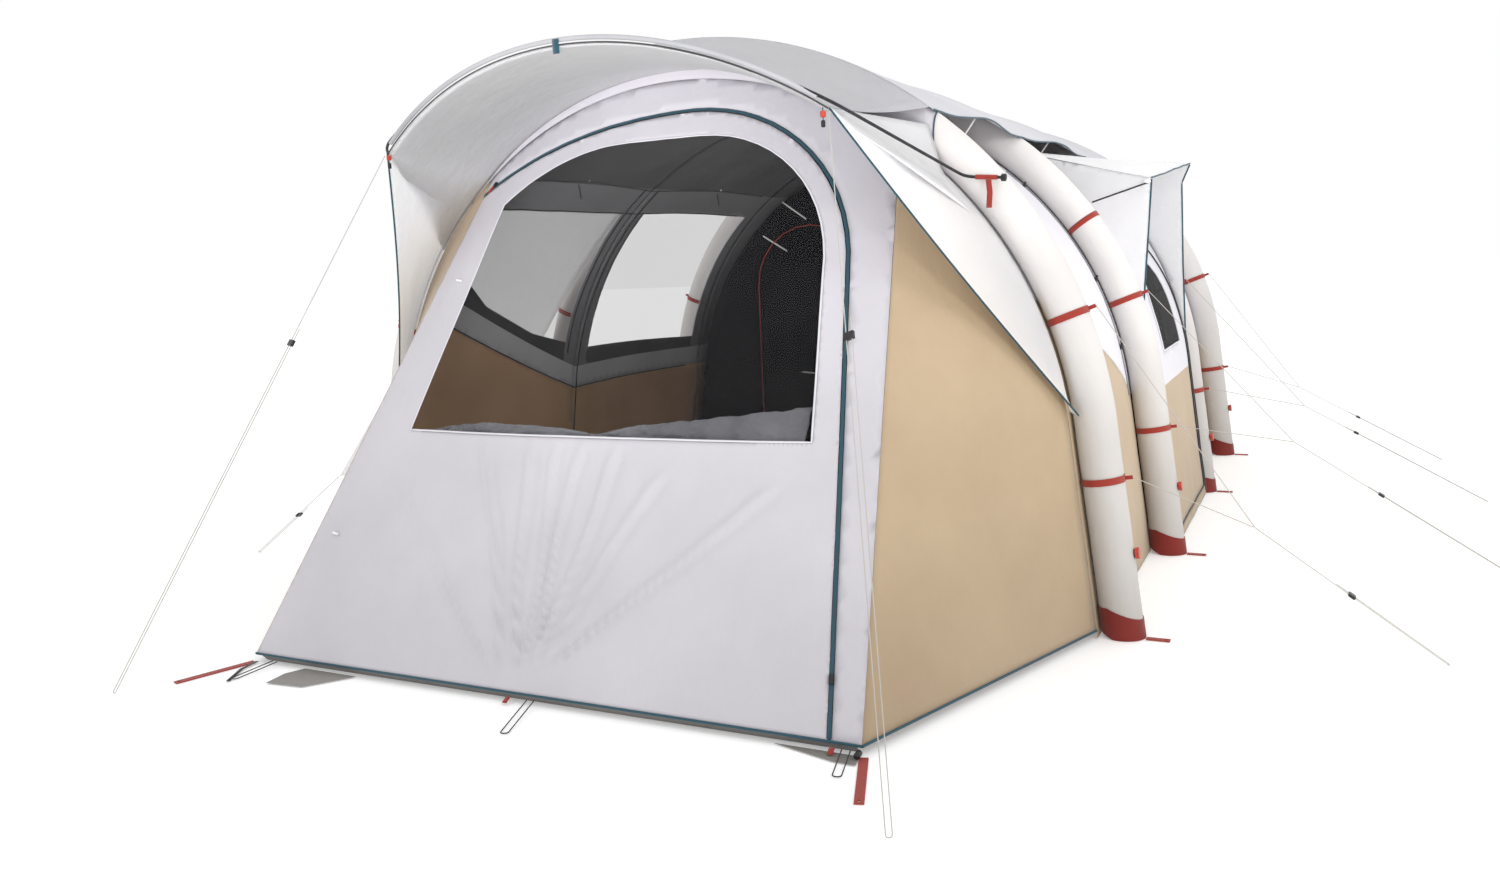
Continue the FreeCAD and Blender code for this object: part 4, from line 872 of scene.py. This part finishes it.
def front_place(x, z):
    """Front cloth with creases that fan out from the middle of the hem to the window's sill."""
    fade = min(1.0, max(0.0, (z - HEM_Z) / 0.12)) * min(1.0, max(0.0, (seam_x(z) - abs(x)) / 0.06))
    out = 0.0016 * wavy((x, z, 0), 0.12, 5, (1.6, 0.6, 1)) + 0.0035 * wavy((x, z, 0), 0.40, 9)
    for (top_x, top_z), (low_x, low_z), width, strength in FOLDS:
        along = (z - low_z) / (top_z - low_z)
        if 0.0 < along < 1.0:
            centre = low_x + (top_x - low_x) * along + 0.010 * math.sin(9 * z + top_x * 20)
            wide = width * (0.40 + 0.60 * along)
            swell = min(1.0, along / 0.10) * min(1.0, (1 - along) / 0.08)
            out += FOLD_HEIGHT * strength * swell * math.exp(-((x - centre) / wide) ** 2)
            out -= 0.5 * FOLD_HEIGHT * strength * swell * math.exp(-((x - centre - 1.7 * wide) / wide) ** 2)
    return Vector((x, front_y(x, z), z)) + FRONT_OUT * out * fade


def curtain():
    """Grey curtain gathered along the window's sill, behind the film: a low heap each side of a pinch."""
    heaps = [[(-0.820, 0.000), (-0.500, 0.040), (-0.100, 0.030), (0.006, 0.012)],
             [(0.006, 0.012), (0.250, 0.050), (0.600, 0.085), (0.828, 0.110)]]
    for label, heap in zip(("left", "right"), heaps):
        xs, rises = [p[0] for p in heap], [p[1] for p in heap]

        def place(a, b):
            x = xs[0] + (xs[-1] - xs[0]) * a
            rise = float(np.interp(x, xs, rises)) + 0.006
            z = 0.818 + rise * b
            fold = 0.013 * wavy((x * 0.5, z, 2), 0.030, 61) + 0.007 * wavy((x, z * 2, 2), 0.022, 62)
            return Vector((x, front_y(x, z), z)) + FRONT_OUT * -(0.026 + fold)
        piece = grid_cloth("window_curtain_" + label, place, 110, 14, CURTAIN, "front_door", FINE_T)


def front():
    top = [(TOP_HALF * (1 - 2 * k / 20), arch_z(TOP_HALF * (1 - 2 * k / 20), FLY)) for k in range(21)]
    edge = door_edge(ZIP_HALF)
    outline = [(HEM_HALF, HEM_Z)] + top + [(-seam_x(LEFT_SHOULDER[1] + ZIP_HALF), LEFT_SHOULDER[1] + ZIP_HALF)]
    outline += edge[::-1][1:]
    piece = cut_cloth("front_frame_cloth", outline, [], 0.035, front_place, FRONT_WHITE_SHADED, "tent", CLOTH_T,
                      ["front_frame"])
    leaf = door_edge(-ZIP_HALF - 0.002)
    door = leaf + [(-seam_x(HEM_Z), HEM_Z)]
    window = window_loop()
    piece = cut_cloth("front_door_cloth", door, [window], 0.016, front_place, FRONT_WHITE_SHADED, "front_door", CLOTH_T,
                      ["front_door"])
    pane = cut_cloth("front_window_film", window, [], 0.05, front_place, FILM, "front_door", FILM_T,
                     ["front_window"])
    tape_path(door_edge(0.0), 0.012, TEAL, "front_zip_tape", "tent", 0.0022, ["front_zip"])
    tape_path(window + window[:1], 0.007, WHITE, "front_window_binding", "front_door", 0.0020)
    hem = [front_place(-HEM_HALF + 2 * HEM_HALF * k / 40, HEM_Z) for k in range(41)]
    piping("front_hem_piping", hem, 0.0045, TEAL, "front_door")


def tape_path(points, width, material, name, body, lift, replaced=()):
    """Tape that follows a line on the front cloth, lifted a little off it."""
    flat = refine(points, 0.03, closed=False)
    path = [front_place(x, z) + FRONT_OUT * lift for x, z in flat]

    def across(k):
        before, after = path[max(0, k - 1)], path[min(len(path) - 1, k + 1)]
        return (after - before).cross(FRONT_OUT)
    piece = ribbon(name, path, across, width, material, body)
    if replaced:
        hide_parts(*replaced)
    return piece


def end_side_point(side, a, b, foot, arch_y):
    """Tan side of a tunnel end: a runs from the middle panel's seam back to the arch, b from its foot up."""
    low = Vector((side * (foot.x + SEAM_GAP), foot.y, foot.z))
    top = Vector((side * (TOP_HALF + SEAM_GAP), arch_y, arch_z(TOP_HALF, FLY)))
    z = foot.z + (arch_z(TOP_HALF + 0.025, FLY) - foot.z) * b
    back = Vector((side * arch_x(z, FLY), arch_y, z))
    return low.lerp(top, 0.985 * b).lerp(back, a)


def side_panel_place(side, a, b):
    point = end_side_point(side, a, b, Vector((HEM_HALF, FRONT_HEM_Y, HEM_Z)), FRONT_Y)
    fade = math.sin(math.pi * a) * min(1.0, b * 6)
    crease = 0.006 * wavy((a, b * 2.5, side), 0.22, 6, (0.6, 1, 1)) + 0.002 * wavy((a, b, 0), 0.06, 2)
    ridge = 0.007 * math.sin(7 * a - 5 * b) * math.exp(-((b - 0.35) / 0.35) ** 2)
    return point + Vector((side * 0.86, -0.5, 0.1)) * (crease + ridge) * fade


def front_sides():
    for side, label in SIDES:
        piece = grid_cloth("front_side_" + label, lambda a, b: side_panel_place(side, a, b), 30, 60, TAN,
                           "tent", CLOTH_T, ["front_side_panels"], flip=side < 0)
        two_faced(piece, [(TAN, LINING_BROWN)])
        hem = [side_panel_place(side, k / 30, 0) for k in range(31)]
        piping("side_hem_" + label, hem, 0.0045, TEAL)


# ---------------------------------------------------------------- hood
HOOD_TIP = Vector((0.918, BEAM_Y[0] - 0.733, 1.881))
HOOD_TOP_Z = 2.160
HOOD_REACH = 0.870


def hood_edge(x):
    """The hood's free front edge."""
    drop = HOOD_TOP_Z - HOOD_TIP.z
    radius = (HOOD_TIP.x ** 2 + drop ** 2) / (2 * drop)
    share = (x / HOOD_TIP.x) ** 2
    reach = HOOD_REACH + (BEAM_Y[0] - HOOD_TIP.y - HOOD_REACH) * share
    return Vector((x, BEAM_Y[0] - reach, HOOD_TOP_Z - radius + math.sqrt(radius ** 2 - x * x)))


def hood_place(a, b):
    """Hood roof: a across from left to right, b from the front edge back to the roof cover."""
    front_point = hood_edge(HOOD_TIP.x * (2 * a - 1))
    x = 1.040 * (2 * a - 1)
    root = Vector((x, BEAM_Y[0] - 0.065, arch_z(x, 0.079)))
    sag = -0.030 * math.sin(math.pi * b) * (1 - 0.4 * (2 * a - 1) ** 2)
    crease = 0.004 * wavy((a * 2, b, 0), 0.2, 11, (1, 0.6, 1)) * math.sin(math.pi * b)
    return front_point.lerp(root, b) + Vector((0, 0, sag + crease))


def wing_place(side, a, b):
    """Hood wing: a from the free edge to the beam, b from the tip down."""
    tip = Vector((side * (HOOD_TIP.x + 0.004), HOOD_TIP.y, HOOD_TIP.z - 0.003))
    low = Vector((side * (arch_x(0.820, -0.040) + 0.004), FRONT_Y - 0.014, 0.820))
    edge = tip.lerp(low, b)
    edge += Vector((-side * 0.018, 0.012, 0)) * math.sin(math.pi * b)
    z = 1.870 + (0.832 - 1.870) * b
    offset = -0.068 + 0.098 * min(1.0, max(0.0, (z - 1.700) / 0.170))
    root = Vector((side * arch_x(z, offset), FRONT_Y - 0.003, z))
    crease = 0.005 * wavy((a, b * 2, side), 0.25, 13) * math.sin(math.pi * a)
    return edge.lerp(root, a) + Vector((side * crease, 0, 0))


LINER_FAN, LINER_HALF, LINER_FOOT = 0.86, 1.020, 1.560
WRAP_HALF = 1.056


def liner_place(a, b):
    """Inner cloth of the hood: a across from left to right, b from the front edge back to the front's arch."""
    across = 2 * a - 1
    side, reach = (1 if across >= 0 else -1), min(1.0, abs(across) / LINER_FAN)
    fan = max(0.0, (abs(across) - LINER_FAN) / (1 - LINER_FAN))
    edge = hood_edge(side * HOOD_TIP.x * reach) + Vector((-side * 0.003 * reach, 0.005, -0.007))
    root_u = u_at_x(LINER_HALF) * reach + (u_at_height(LINER_FOOT) - u_at_x(LINER_HALF)) * fan
    x, z, _ = arch(side * root_u, -0.042 - 0.034 * min(1.0, reach ** 2 + fan))
    root = Vector((x, BEAM_Y[0] - 0.083, z))
    sag = -0.022 * math.sin(math.pi * b) * (1 - fan)
    crease = 0.004 * wavy((a * 2, b, 5), 0.16, 14, (1, 0.5, 1)) * math.sin(math.pi * b)
    return edge.lerp(root, b) + Vector((0, 0, sag + crease))


def wrap_place(a, b):
    """White strip over the front of the first beam: a across, b from its lower edge over to the roof cover."""
    half = WRAP_HALF * (2 * a - 1)
    offset = FLY + (0.078 - FLY) * b
    lean = max(0.0, offset) / 0.0815
    z = arch_z(half, offset)
    return Vector((half, BEAM_Y[0] - 0.0815 * math.sqrt(max(0.0, 1 - lean * lean)), z))


def hood():
    # The hood roof's grey outer face is painted shade.
    piece = grid_cloth("hood_roof_cloth", hood_place, 60, 26, HOOD_TOP, "tent", FINE_T, ["hood"])
    two_faced(piece, [(HOOD_TOP, WHITE_UNDER)])
    piece = grid_cloth("hood_liner_cloth", liner_place, 80, 26, WHITE_UNDER, "tent", 0.0010)
    piece = grid_cloth("hood_wrap_cloth", wrap_place, 60, 12, FRONT_WHITE_SHADED, "tent", FINE_T)
    for side, label in SIDES:
        end = [wrap_place((side + 1) / 2, k / 12) + Vector((side * 0.002, -0.001, 0)) for k in range(13)]
        piping("hood_wrap_edge_" + label, end, 0.003, TEAL)
    sleeve = [hood_edge(HOOD_TIP.x * (k / 30 - 1)) + Vector((0, -0.006, 0.012)) for k in range(61)]
    piping("hood_pole_sleeve", sleeve[1:-1], 0.0085, SLEEVE_GREY)
    rim = [hood_place(k / 60, 0) + Vector((0, 0, -0.003)) for k in range(61)]
    piping("hood_edge_front", rim, 0.0025, LINING_EDGE)
    for side, label in SIDES:
        piece = grid_cloth("hood_wing_" + label, lambda a, b: wing_place(side, a, b), 16, 40, WING, "tent",
                           FINE_T, ["hood"], flip=side > 0)
        two_faced(piece, [(WING, WHITE_UNDER)])
        piping("hood_edge_" + label, [wing_place(side, 0, k / 40) for k in range(41)], 0.0035, TEAL)


# ---------------------------------------------------------------- side door bay, canopy and awning
SIDE_OUT = 0.028


def side_place(u, y):
    x, z, normal = arch(u, SIDE_OUT)
    out = 0.0025 * wavy((u, y, 0), 0.2, 21) + 0.001 * wavy((u, y, 0), 0.06, 22)
    return Vector((x + normal[0] * out, y, max(0.001, z + normal[1] * out)))


def round_top(front_edge, rear_edge, foot, spring, top):
    """Outline with straight sides and a round top, as (u, y) points on the side wall."""
    middle, half = (front_edge + rear_edge) / 2, (rear_edge - front_edge) / 2
    points = [(foot, front_edge), (foot, rear_edge)]
    for k in range(13):
        angle = math.pi * k / 12
        points.append((spring + (top - spring) * math.sin(angle), middle + half * math.cos(angle)))
    return [(u_at_height(z, SIDE_OUT), y) for z, y in points]


def side_door():
    door_hole = round_top(-0.503, 0.593, 0.057, 1.080, 1.473)
    door = round_top(-0.500, 0.590, 0.060, 1.080, 1.470)
    window = round_top(-0.300, 0.350, 0.890, 1.080, 1.330)
    low, high = u_at_height(0.003, SIDE_OUT), u_at_height(1.598, SIDE_OUT)
    wall = [(low, -0.662), (high, -0.662), (high, 0.662), (low, 0.662)]
    split = u_at_height(TAN_Z, SIDE_OUT)
    pairs = [(WHITE, LINING_MID), (TAN, LINING_BROWN)]

    def zone(centre):
        return 0 if centre.z > TAN_Z else 1

    piece = cut_cloth("side_wall_cloth", wall, [door_hole], 0.05, side_place, WHITE, "tent", CLOTH_T,
                      ["side_wall"],
                      lines=[[(split, -0.662), (split, -0.503)], [(split, 0.593), (split, 0.662)]])
    two_faced(piece, pairs, zone)
    piece = cut_cloth("side_door_cloth", door, [window], 0.05, side_place, WHITE, "side_door", CLOTH_T,
                      ["side_door"], lines=[[(split, -0.500), (split, 0.590)]])
    two_faced(piece, pairs, zone)
    net = cut_cloth("side_window_net", window, [], 0.06, side_place, NET, "side_door", FILM_T, ["side_window"])
    out = arch(u_at_height(1.0, SIDE_OUT))[2]
    for name, loop, body in (("side_zip", round_top(-0.5015, 0.5915, 0.0585, 1.080, 1.4715), "tent"),
                             ("side_window_binding", window, "side_door")):
        flat = refine(loop, 0.03)
        path = [side_place(u, y) + Vector((out[0], 0, out[1])) * 0.0025 for u, y in flat + flat[:1]]
        piping(name, path, 0.0045, BLACK if name == "side_zip" else WHITE, body)


CANOPY_Y = (-0.600, 0.640)
CANOPY_CORNER, CANOPY_TIP = (1.608, 1.708), (1.640, 1.838)
CANOPY_ROOT_Z = 1.938


def canopy_roof_place(a, b):
    """Canopy over the side door: a from the wall outward, b from front to rear."""
    y = CANOPY_Y[0] + (CANOPY_Y[1] - CANOPY_Y[0]) * b
    root = Vector((arch_x(CANOPY_ROOT_Z, FLY + 0.004), y, CANOPY_ROOT_Z))
    edge = Vector([low + (high - low) * b for low, high in zip(CANOPY_CORNER, CANOPY_TIP)])
    edge = Vector((edge.x, y, edge.y))
    rise = 0.012 * math.sin(math.pi * b) * math.sin(math.pi * a) + 0.004 * wavy((a, b * 2, 0), 0.3, 31) * a
    return root.lerp(edge, a) + Vector((0, 0, rise))


def canopy():
    piece = grid_cloth("canopy_roof_cloth", canopy_roof_place, 24, 30, WING, "tent", FINE_T, ["side_canopy"])
    two_faced(piece, [(WING, PORCH_INSIDE_SHADED)])
    step = DOOR_BAY[2] + 0.006
    for name, y, outer, foot, size in (
            ("front", CANOPY_Y[0], [(1.608, 1.702)], 1.100, (0.86, 0.60)),
            ("rear", CANOPY_Y[1] - 0.003, [(1.640, 1.830), (1.600, 1.735), (1.612, 1.290)], 0.900,
             (0.90, 0.85))):
        heights = [foot + (step - foot) * k / 12 for k in range(13)]
        wall = [(arch_x(z, SIDE_OUT + 0.003), z) for z in heights]
        heights = [step + (CANOPY_ROOT_Z - 0.005 - step) * k / 8 for k in range(9)]
        wall += [(arch_x(z, FLY + 0.004), z) for z in heights]

        def place(x, z):
            free = min(1.0, max(0.0, x - arch_x(min(z, 1.9), SIDE_OUT)) / 0.15)
            fold = -0.006 * math.exp(-((z - 1.730) / 0.010) ** 2) if name == "rear" else 0.0
            return Vector((x, y + (0.005 * wavy((x, z, 0), 0.15, 33) + fold) * free, z))
        piece = cut_cloth("canopy_cheek_" + name, wall + outer, [], 0.03, place, WING, "tent", FINE_T,
                          ["side_canopy"])
        # Cheek faces turned into the porch get the painted shade.
        two_faced(piece, [(PORCH_INSIDE_SHADED, WING) if name == "rear" else (WING, PORCH_INSIDE_SHADED)])
        edge = [Vector((x, y, z)) for x, z in outer + [wall[0]]]
        piping("canopy_edge_" + name, edge, 0.004, TEAL)
    piping("canopy_edge_roof", [canopy_roof_place(1, k / 30) for k in range(31)], 0.004, TEAL)


def awning():
    y0, y1 = BEAM_Y[0] + 0.100, BEAM_Y[1] - 0.100
    top_z = 1.720
    x_top = -(arch_x(top_z, FLY) + 0.022)

    def place(a, b):
        point = Vector((x_top, 0, top_z)).lerp(Vector((-2.200, 0, 0.400)), a)
        sag = 0.018 * math.sin(math.pi * b) * a
        clear = 0.024 * math.sin(math.pi * min(1.0, 2.0 * a))
        return Vector((point.x + 0.3 * sag - 0.78 * clear, y0 + (y1 - y0) * b,
                       point.z + sag + 0.62 * clear + 0.003 * wavy((a, b, 1), 0.3, 17)))
    piece = grid_cloth("window_awning_cloth", place, 30, 20, AWNING, "tent", FINE_T, ["window_awning"],
                       flip=True)


# ---------------------------------------------------------------- rear end, ground and cabin
def rear():
    foot = Vector((1.150, REAR_HEM_Y, 0.004))

    def middle(a, b):
        low = Vector((foot.x * (2 * a - 1), foot.y, foot.z))
        x = TOP_HALF * (2 * a - 1)
        high = Vector((x, REAR_Y, arch_z(x, FLY)))
        crease = 0.005 * wavy((a * 2, b * 2, 0), 0.25, 41) * math.sin(math.pi * b)
        return low.lerp(high, b) + Vector((0, crease, 0))

    piece = grid_cloth("rear_cloth", middle, 40, 40, WHITE, "tent", CLOTH_T, ["rear_panels"], flip=True)
    two_faced(piece, [(WHITE, LINING_DARK)])
    for side, label in SIDES:
        def place(a, b, side=side):
            crease = 0.006 * wavy((a, b * 2, side), 0.25, 43) * math.sin(math.pi * a)
            return end_side_point(side, a, b, foot, REAR_Y) + Vector((side * crease, 0, 0))

        piece = grid_cloth("rear_side_" + label, place, 24, 44, TAN, "tent", CLOTH_T, ["rear_panels"],
                           flip=side > 0)
        two_faced(piece, [(TAN, LINING_BROWN)])


def cabin_door_loop(side, grow=0.0):
    inner, outer = 0.260 - grow, 1.000 + grow
    spring, top, foot = 1.250, 1.620 + grow, 0.110 - grow
    middle, half = (inner + outer) / 2, (outer - inner) / 2
    points = [(inner, foot), (outer, foot)]
    turns = [math.pi * k / 12 for k in range(13)]
    points += [(middle + half * math.cos(t), spring + (top - spring) * math.sin(t)) for t in turns]
    return [(side * x, z) for x, z in points]


CABIN_IN = -0.190
CABIN_Y = 0.6415


def cabin():
    y = CABIN_Y
    limit = u_at_height(0.008, CABIN_IN)
    outline = [arch(limit * (1 - 2 * k / 24), CABIN_IN)[:2] for k in range(25)]

    def place(x, z):
        return Vector((x, y + 0.006 * wavy((x, z, 0), 0.22, 51, (1.5, 0.5, 1)), z))
    holes = [cabin_door_loop(side, 0.003) for side in (1, -1)]
    piece = cut_cloth("cabin_front_cloth", outline, holes, 0.06, place, CABIN, "tent", CLOTH_T,
                      ["bedroom_front_wall"])
    for side, label in SIDES:
        body = "bedroom_door_" + label
        piece = cut_cloth("cabin_door_%s_cloth" % label, cabin_door_loop(side), [], 0.05, place, CABIN, body,
                          CLOTH_T, [body])
        loop = [(x, z) for x, z in refine(cabin_door_loop(side, 0.0015), 0.04, closed=False) if abs(x) > 0.290]
        piping("cabin_zip_" + label, [Vector((x, y - 0.010, z)) for x, z in loop], 0.004, RED_WEB)

    def shell(a, b):
        u = limit * (2 * a - 1)
        x, z, normal = arch(u, CABIN_IN)
        out = 0.006 * wavy((u, b * 1.4, 0), 0.3, 55)
        return Vector((x + normal[0] * out, 0.645 + 1.439 * b, max(0.006, z + normal[1] * out)))
    piece = grid_cloth("cabin_shell_cloth", shell, 60, 20, CABIN, "tent", CLOTH_T, ["bedroom_shell"])
    paint(CABIN, "bedroom_rear", "bedroom_divider")


def ground():
    paint(GROUND, "groundsheet")
    # The mud flap's dark colour is partly painted shade.
    paint(MUD_FLAP_SHADED, "mud_flap")
    paint(BLACK, "front_zip_slider")


# ---------------------------------------------------------------- small sewn and tied pieces
def knob(name, centre, axis, radius, length, material, body="tent"):
    """Short round piece about an axis, with softened ends."""
    axis = Vector(axis).normalized()
    turn = Vector((0, 0, 1)).rotation_difference(axis)
    profile = [(0.0, -0.5), (0.7, -0.5), (1.0, -0.36), (1.0, 0.36), (0.7, 0.5), (0.0, 0.5)]
    around = 16
    vertices = [Vector(centre) + turn @ Vector((radius * r * math.cos(2 * math.pi * k / around),
                                                radius * r * math.sin(2 * math.pi * k / around), length * h))
                for r, h in profile for k in range(around)]
    faces = []
    for i in range(len(profile) - 1):
        for k in range(around):
            a, b = i * around + k, i * around + (k + 1) % around
            faces.append((a, b, b + around, a + around))
    return make_object(name, vertices, faces, material, body)


def strip(name, path, side, width, material, body="tent"):
    """Short webbing strip along points, with one sideways direction."""
    return ribbon(name, [Vector(p) for p in path], lambda k: Vector(side), width, material, body)


def off_wall(place, u, y, offset, lift):
    """Point a little off a wall's cloth, outward for a positive lift."""
    normal = arch(u, offset)[2]
    return place(u, y) + Vector((normal[0], 0, normal[1])) * lift


def arch_line(height_top, height_low, y, place, offset, count=24):
    """Points down the right wall between two heights, on a cloth's own surface."""
    heights = [height_top + (height_low - height_top) * k / count for k in range(count + 1)]
    return [off_wall(place, u_at_height(z, offset), y, offset, 0.003) for z in heights]


def hood_details():
    apex = hood_edge(0.0)
    strip("hood_tag", [apex + Vector((0, -0.018, 0.014)), apex + Vector((0, -0.016, -0.034))], (1, 0, 0),
          0.026, TEAL)
    bracket_y, turn_z, end_x = BEAM_Y[0] - BEAM_R - 0.014, 1.675, 1.308
    for side, label in SIDES:
        end = Vector((side * (end_x + 0.007), bracket_y, turn_z - 0.012))
        knob("pole_end_knob_" + label, end, (side, 0, -0.083), 0.0135, 0.019, BLACK)
        web = Vector((side * 1.262, bracket_y - 0.010, turn_z - 0.010))
        tail = [web, web + Vector((side * 0.006, -0.004, -0.050)), web + Vector((side * 0.002, -0.002, -0.105))]
        strip("bracket_tail_" + label, tail, (1, 0, 0), 0.020, RED_WEB)
        tip = Vector((side * 0.905, HOOD_TIP.y - 0.012, HOOD_TIP.z))
        piping("tip_cord_" + label, [tip, tip + Vector((0, 0, -0.060))], 0.0015, BLACK_WEB)
        knob("tip_toggle_red_" + label, tip + Vector((0, 0, -0.022)), (0, 0, 1), 0.009, 0.020, RED_PLASTIC)
        knob("tip_toggle_black_" + label, tip + Vector((0, 0, -0.052)), (0, 0, 1), 0.007, 0.022, BLACK)


def front_details():
    for number, (x, z) in enumerate(((-0.863, 1.377), (-1.034, 0.439))):
        knob("front_toggle_%d" % (number + 1), front_place(x, z) + FRONT_OUT * 0.007, (1, 0, -0.2), 0.005,
             0.030, WHITE_PLASTIC, "front_door")
    place = front_place(-0.880, 1.768) + FRONT_OUT * 0.006
    strip("second_pull", [place, place + Vector((-0.030, -0.004, -0.026))], (0.6, -0.3, -0.7), 0.012, RED_WEB,
          "front_door")
    knob("second_slider", place + Vector((0.012, 0, 0.008)), (1, 0, 0.8), 0.007, 0.022, BLACK, "front_door")


def side_details():
    strap_u = 1.560
    x, z, normal = arch(strap_u)
    turns = [2 * math.pi * k / 36 for k in range(37)]
    ring = [Vector((x, BEAM_Y[1], z))
            + (BEAM_R + 0.0012) * Vector((normal[0] * math.cos(t), math.sin(t), normal[1] * math.cos(t)))
            for t in turns]
    along = Vector((normal[1], 0, -normal[0]))
    ribbon("canopy_pole_strap", ring, lambda k: along, 0.025, RED_WEB, "tent")
    knob("canopy_pole_toggle", (1.590, CANOPY_Y[0] - 0.012, 1.694), (1, 0.1, 0.3), 0.011, 0.030, WHITE_PLASTIC)
    seam_y = BEAM_Y[1] - 0.130
    piping("bay_seam", arch_line(1.760, 0.740, seam_y, fly_place, FLY), 0.0030, SEAM_GREY)
    for number, height in enumerate((1.690, 1.260, 0.960)):
        point = arch_line(height, height - 0.01, seam_y, fly_place, FLY, 1)[0]
        knob("bay_toggle_%d" % (number + 1), point + Vector((0.006, -0.006, 0)), (0.3, -0.2, 1), 0.006, 0.032,
             BLACK)
    piping("beam_1_seam", arch_line(1.250, 0.040, BEAM_Y[0] + 0.112, fly_place, FLY), 0.0035, SEAM_GREY)
    piping("door_bay_seam", arch_line(1.560, 0.020, 0.650, side_place, SIDE_OUT), 0.0045, LINING_EDGE)


CABIN_TAPES = [((-0.814, 1.775), (-0.651, 1.659)), ((-0.958, 1.567), (-0.791, 1.464)),
               ((-0.716, 0.685), (-0.625, 0.679))]


def cabin_details():
    y = CABIN_Y - 0.010
    for number, ((x0, z0), (x1, z1)) in enumerate(CABIN_TAPES):
        across = (x1 - x0, 0, 2 * (x1 - x0) ** 2 / 0.1)
        strip("cabin_tape_%d" % (number + 1), [(x0, y, z0), (x1, y, z1)], across, 0.010, WHITE_PLASTIC)
    for number, y_at in enumerate((-1.470, -0.030)):
        x, z, _ = arch(-u_at_height(INSIDE_ROOF_Z, FLY), FLY - 0.006)
        line = [Vector((x, y_at, z)), Vector((x + 0.010, y_at, z - 0.070))]
        piping("roof_cord_%d" % (number + 1), line, 0.003, BLACK_WEB)


def inner_seam(name, points):
    """Dark bound seam on the inside of the left wall, through (height, y) points."""
    steps = [k / 24 for k in range(24)]
    flat = [(z0 + (z1 - z0) * k, y0 + (y1 - y0) * k) for (z0, y0), (z1, y1) in zip(points, points[1:])
            for k in steps]
    line = [off_wall(fly_place, -u_at_height(z, FLY), y, FLY, -0.006) for z, y in flat]
    piping(name, line, 0.0035, BLACK_WEB)


def lining_seams():
    y0, y1, y2 = BEAM_Y[0] + 0.080, BEAM_Y[1], 0.620
    inner_seam("seam_roof", [(INSIDE_ROOF_Z, y0), (INSIDE_ROOF_Z + 0.012, (y0 + y1) / 2),
                             (INSIDE_ROOF_Z - 0.008, y1), (INSIDE_ROOF_Z + 0.008, 0.0), (INSIDE_ROOF_Z, y2)])
    inner_seam("seam_pane_top", [(WINDOW_TOP_Z + 0.004, y0), (WINDOW_TOP_Z + 0.004, y2)])
    inner_seam("seam_beam_2_front", [(INSIDE_ROOF_Z, y1 - 0.085), (0.900, y1 - 0.085)])
    inner_seam("seam_beam_2_rear", [(INSIDE_ROOF_Z, y1 + 0.055), (0.800, y1 + 0.020), (0.050, y1 + 0.010)])
    inner_seam("seam_skirt", [(tan_line(y0), y0), (TAN_Z, y1), (TAN_Z, y2)])


def ground_patch(name, corners, height, material):
    points = [Vector((x, y, height)) for x, y in corners]
    patch = make_object(name, points, [tuple(range(len(points)))], material, "tent", smooth=False)
    return thicken(patch, FINE_T)


def ground_details():
    """Corner gussets of the mud flap, and the webbing tails with their buckles at the front corners."""
    y = FRONT_HEM_Y
    right = [(0.934, y - 0.004), (1.143, y - 0.062), (1.214, y - 0.065), (1.205, y - 0.004)]
    left = [(-0.713, y - 0.004), (-0.822, y - 0.150), (-0.978, y - 0.165), (-0.990, y - 0.070),
            (-0.960, y - 0.004)]
    ground_patch("corner_flap_right", right, 0.0035, GROUND)
    ground_patch("corner_flap_left", left, 0.0035, GROUND)
    web = [(-1.200, y - 0.010, 0.006), (-1.190, y - 0.090, 0.004), (-1.131, y - 0.200, 0.003)]
    strip("corner_web_left", web, (1, 0.3, 0), 0.014, BLACK_WEB)
    knob("corner_buckle_right", (1.206, y - 0.022, 0.016), (0, 1, 0.1), 0.010, 0.030, BLACK)
    strip("hem_tag_middle", [(-0.033, y - 0.008, 0.020), (-0.031, y - 0.034, 0.008)], (1, 0, 0), 0.018, RED_WEB)
    strip("hem_tag_right", [(1.122, y - 0.008, 0.020), (1.124, y - 0.034, 0.008)], (1, 0, 0), 0.018, RED_WEB)


beams()
fly()
roof()
front()
curtain()
front_sides()
hood()
side_door()
canopy()
awning()
rear()
cabin()
ground()
hood_details()
front_details()
side_details()
cabin_details()
lining_seams()
ground_details()
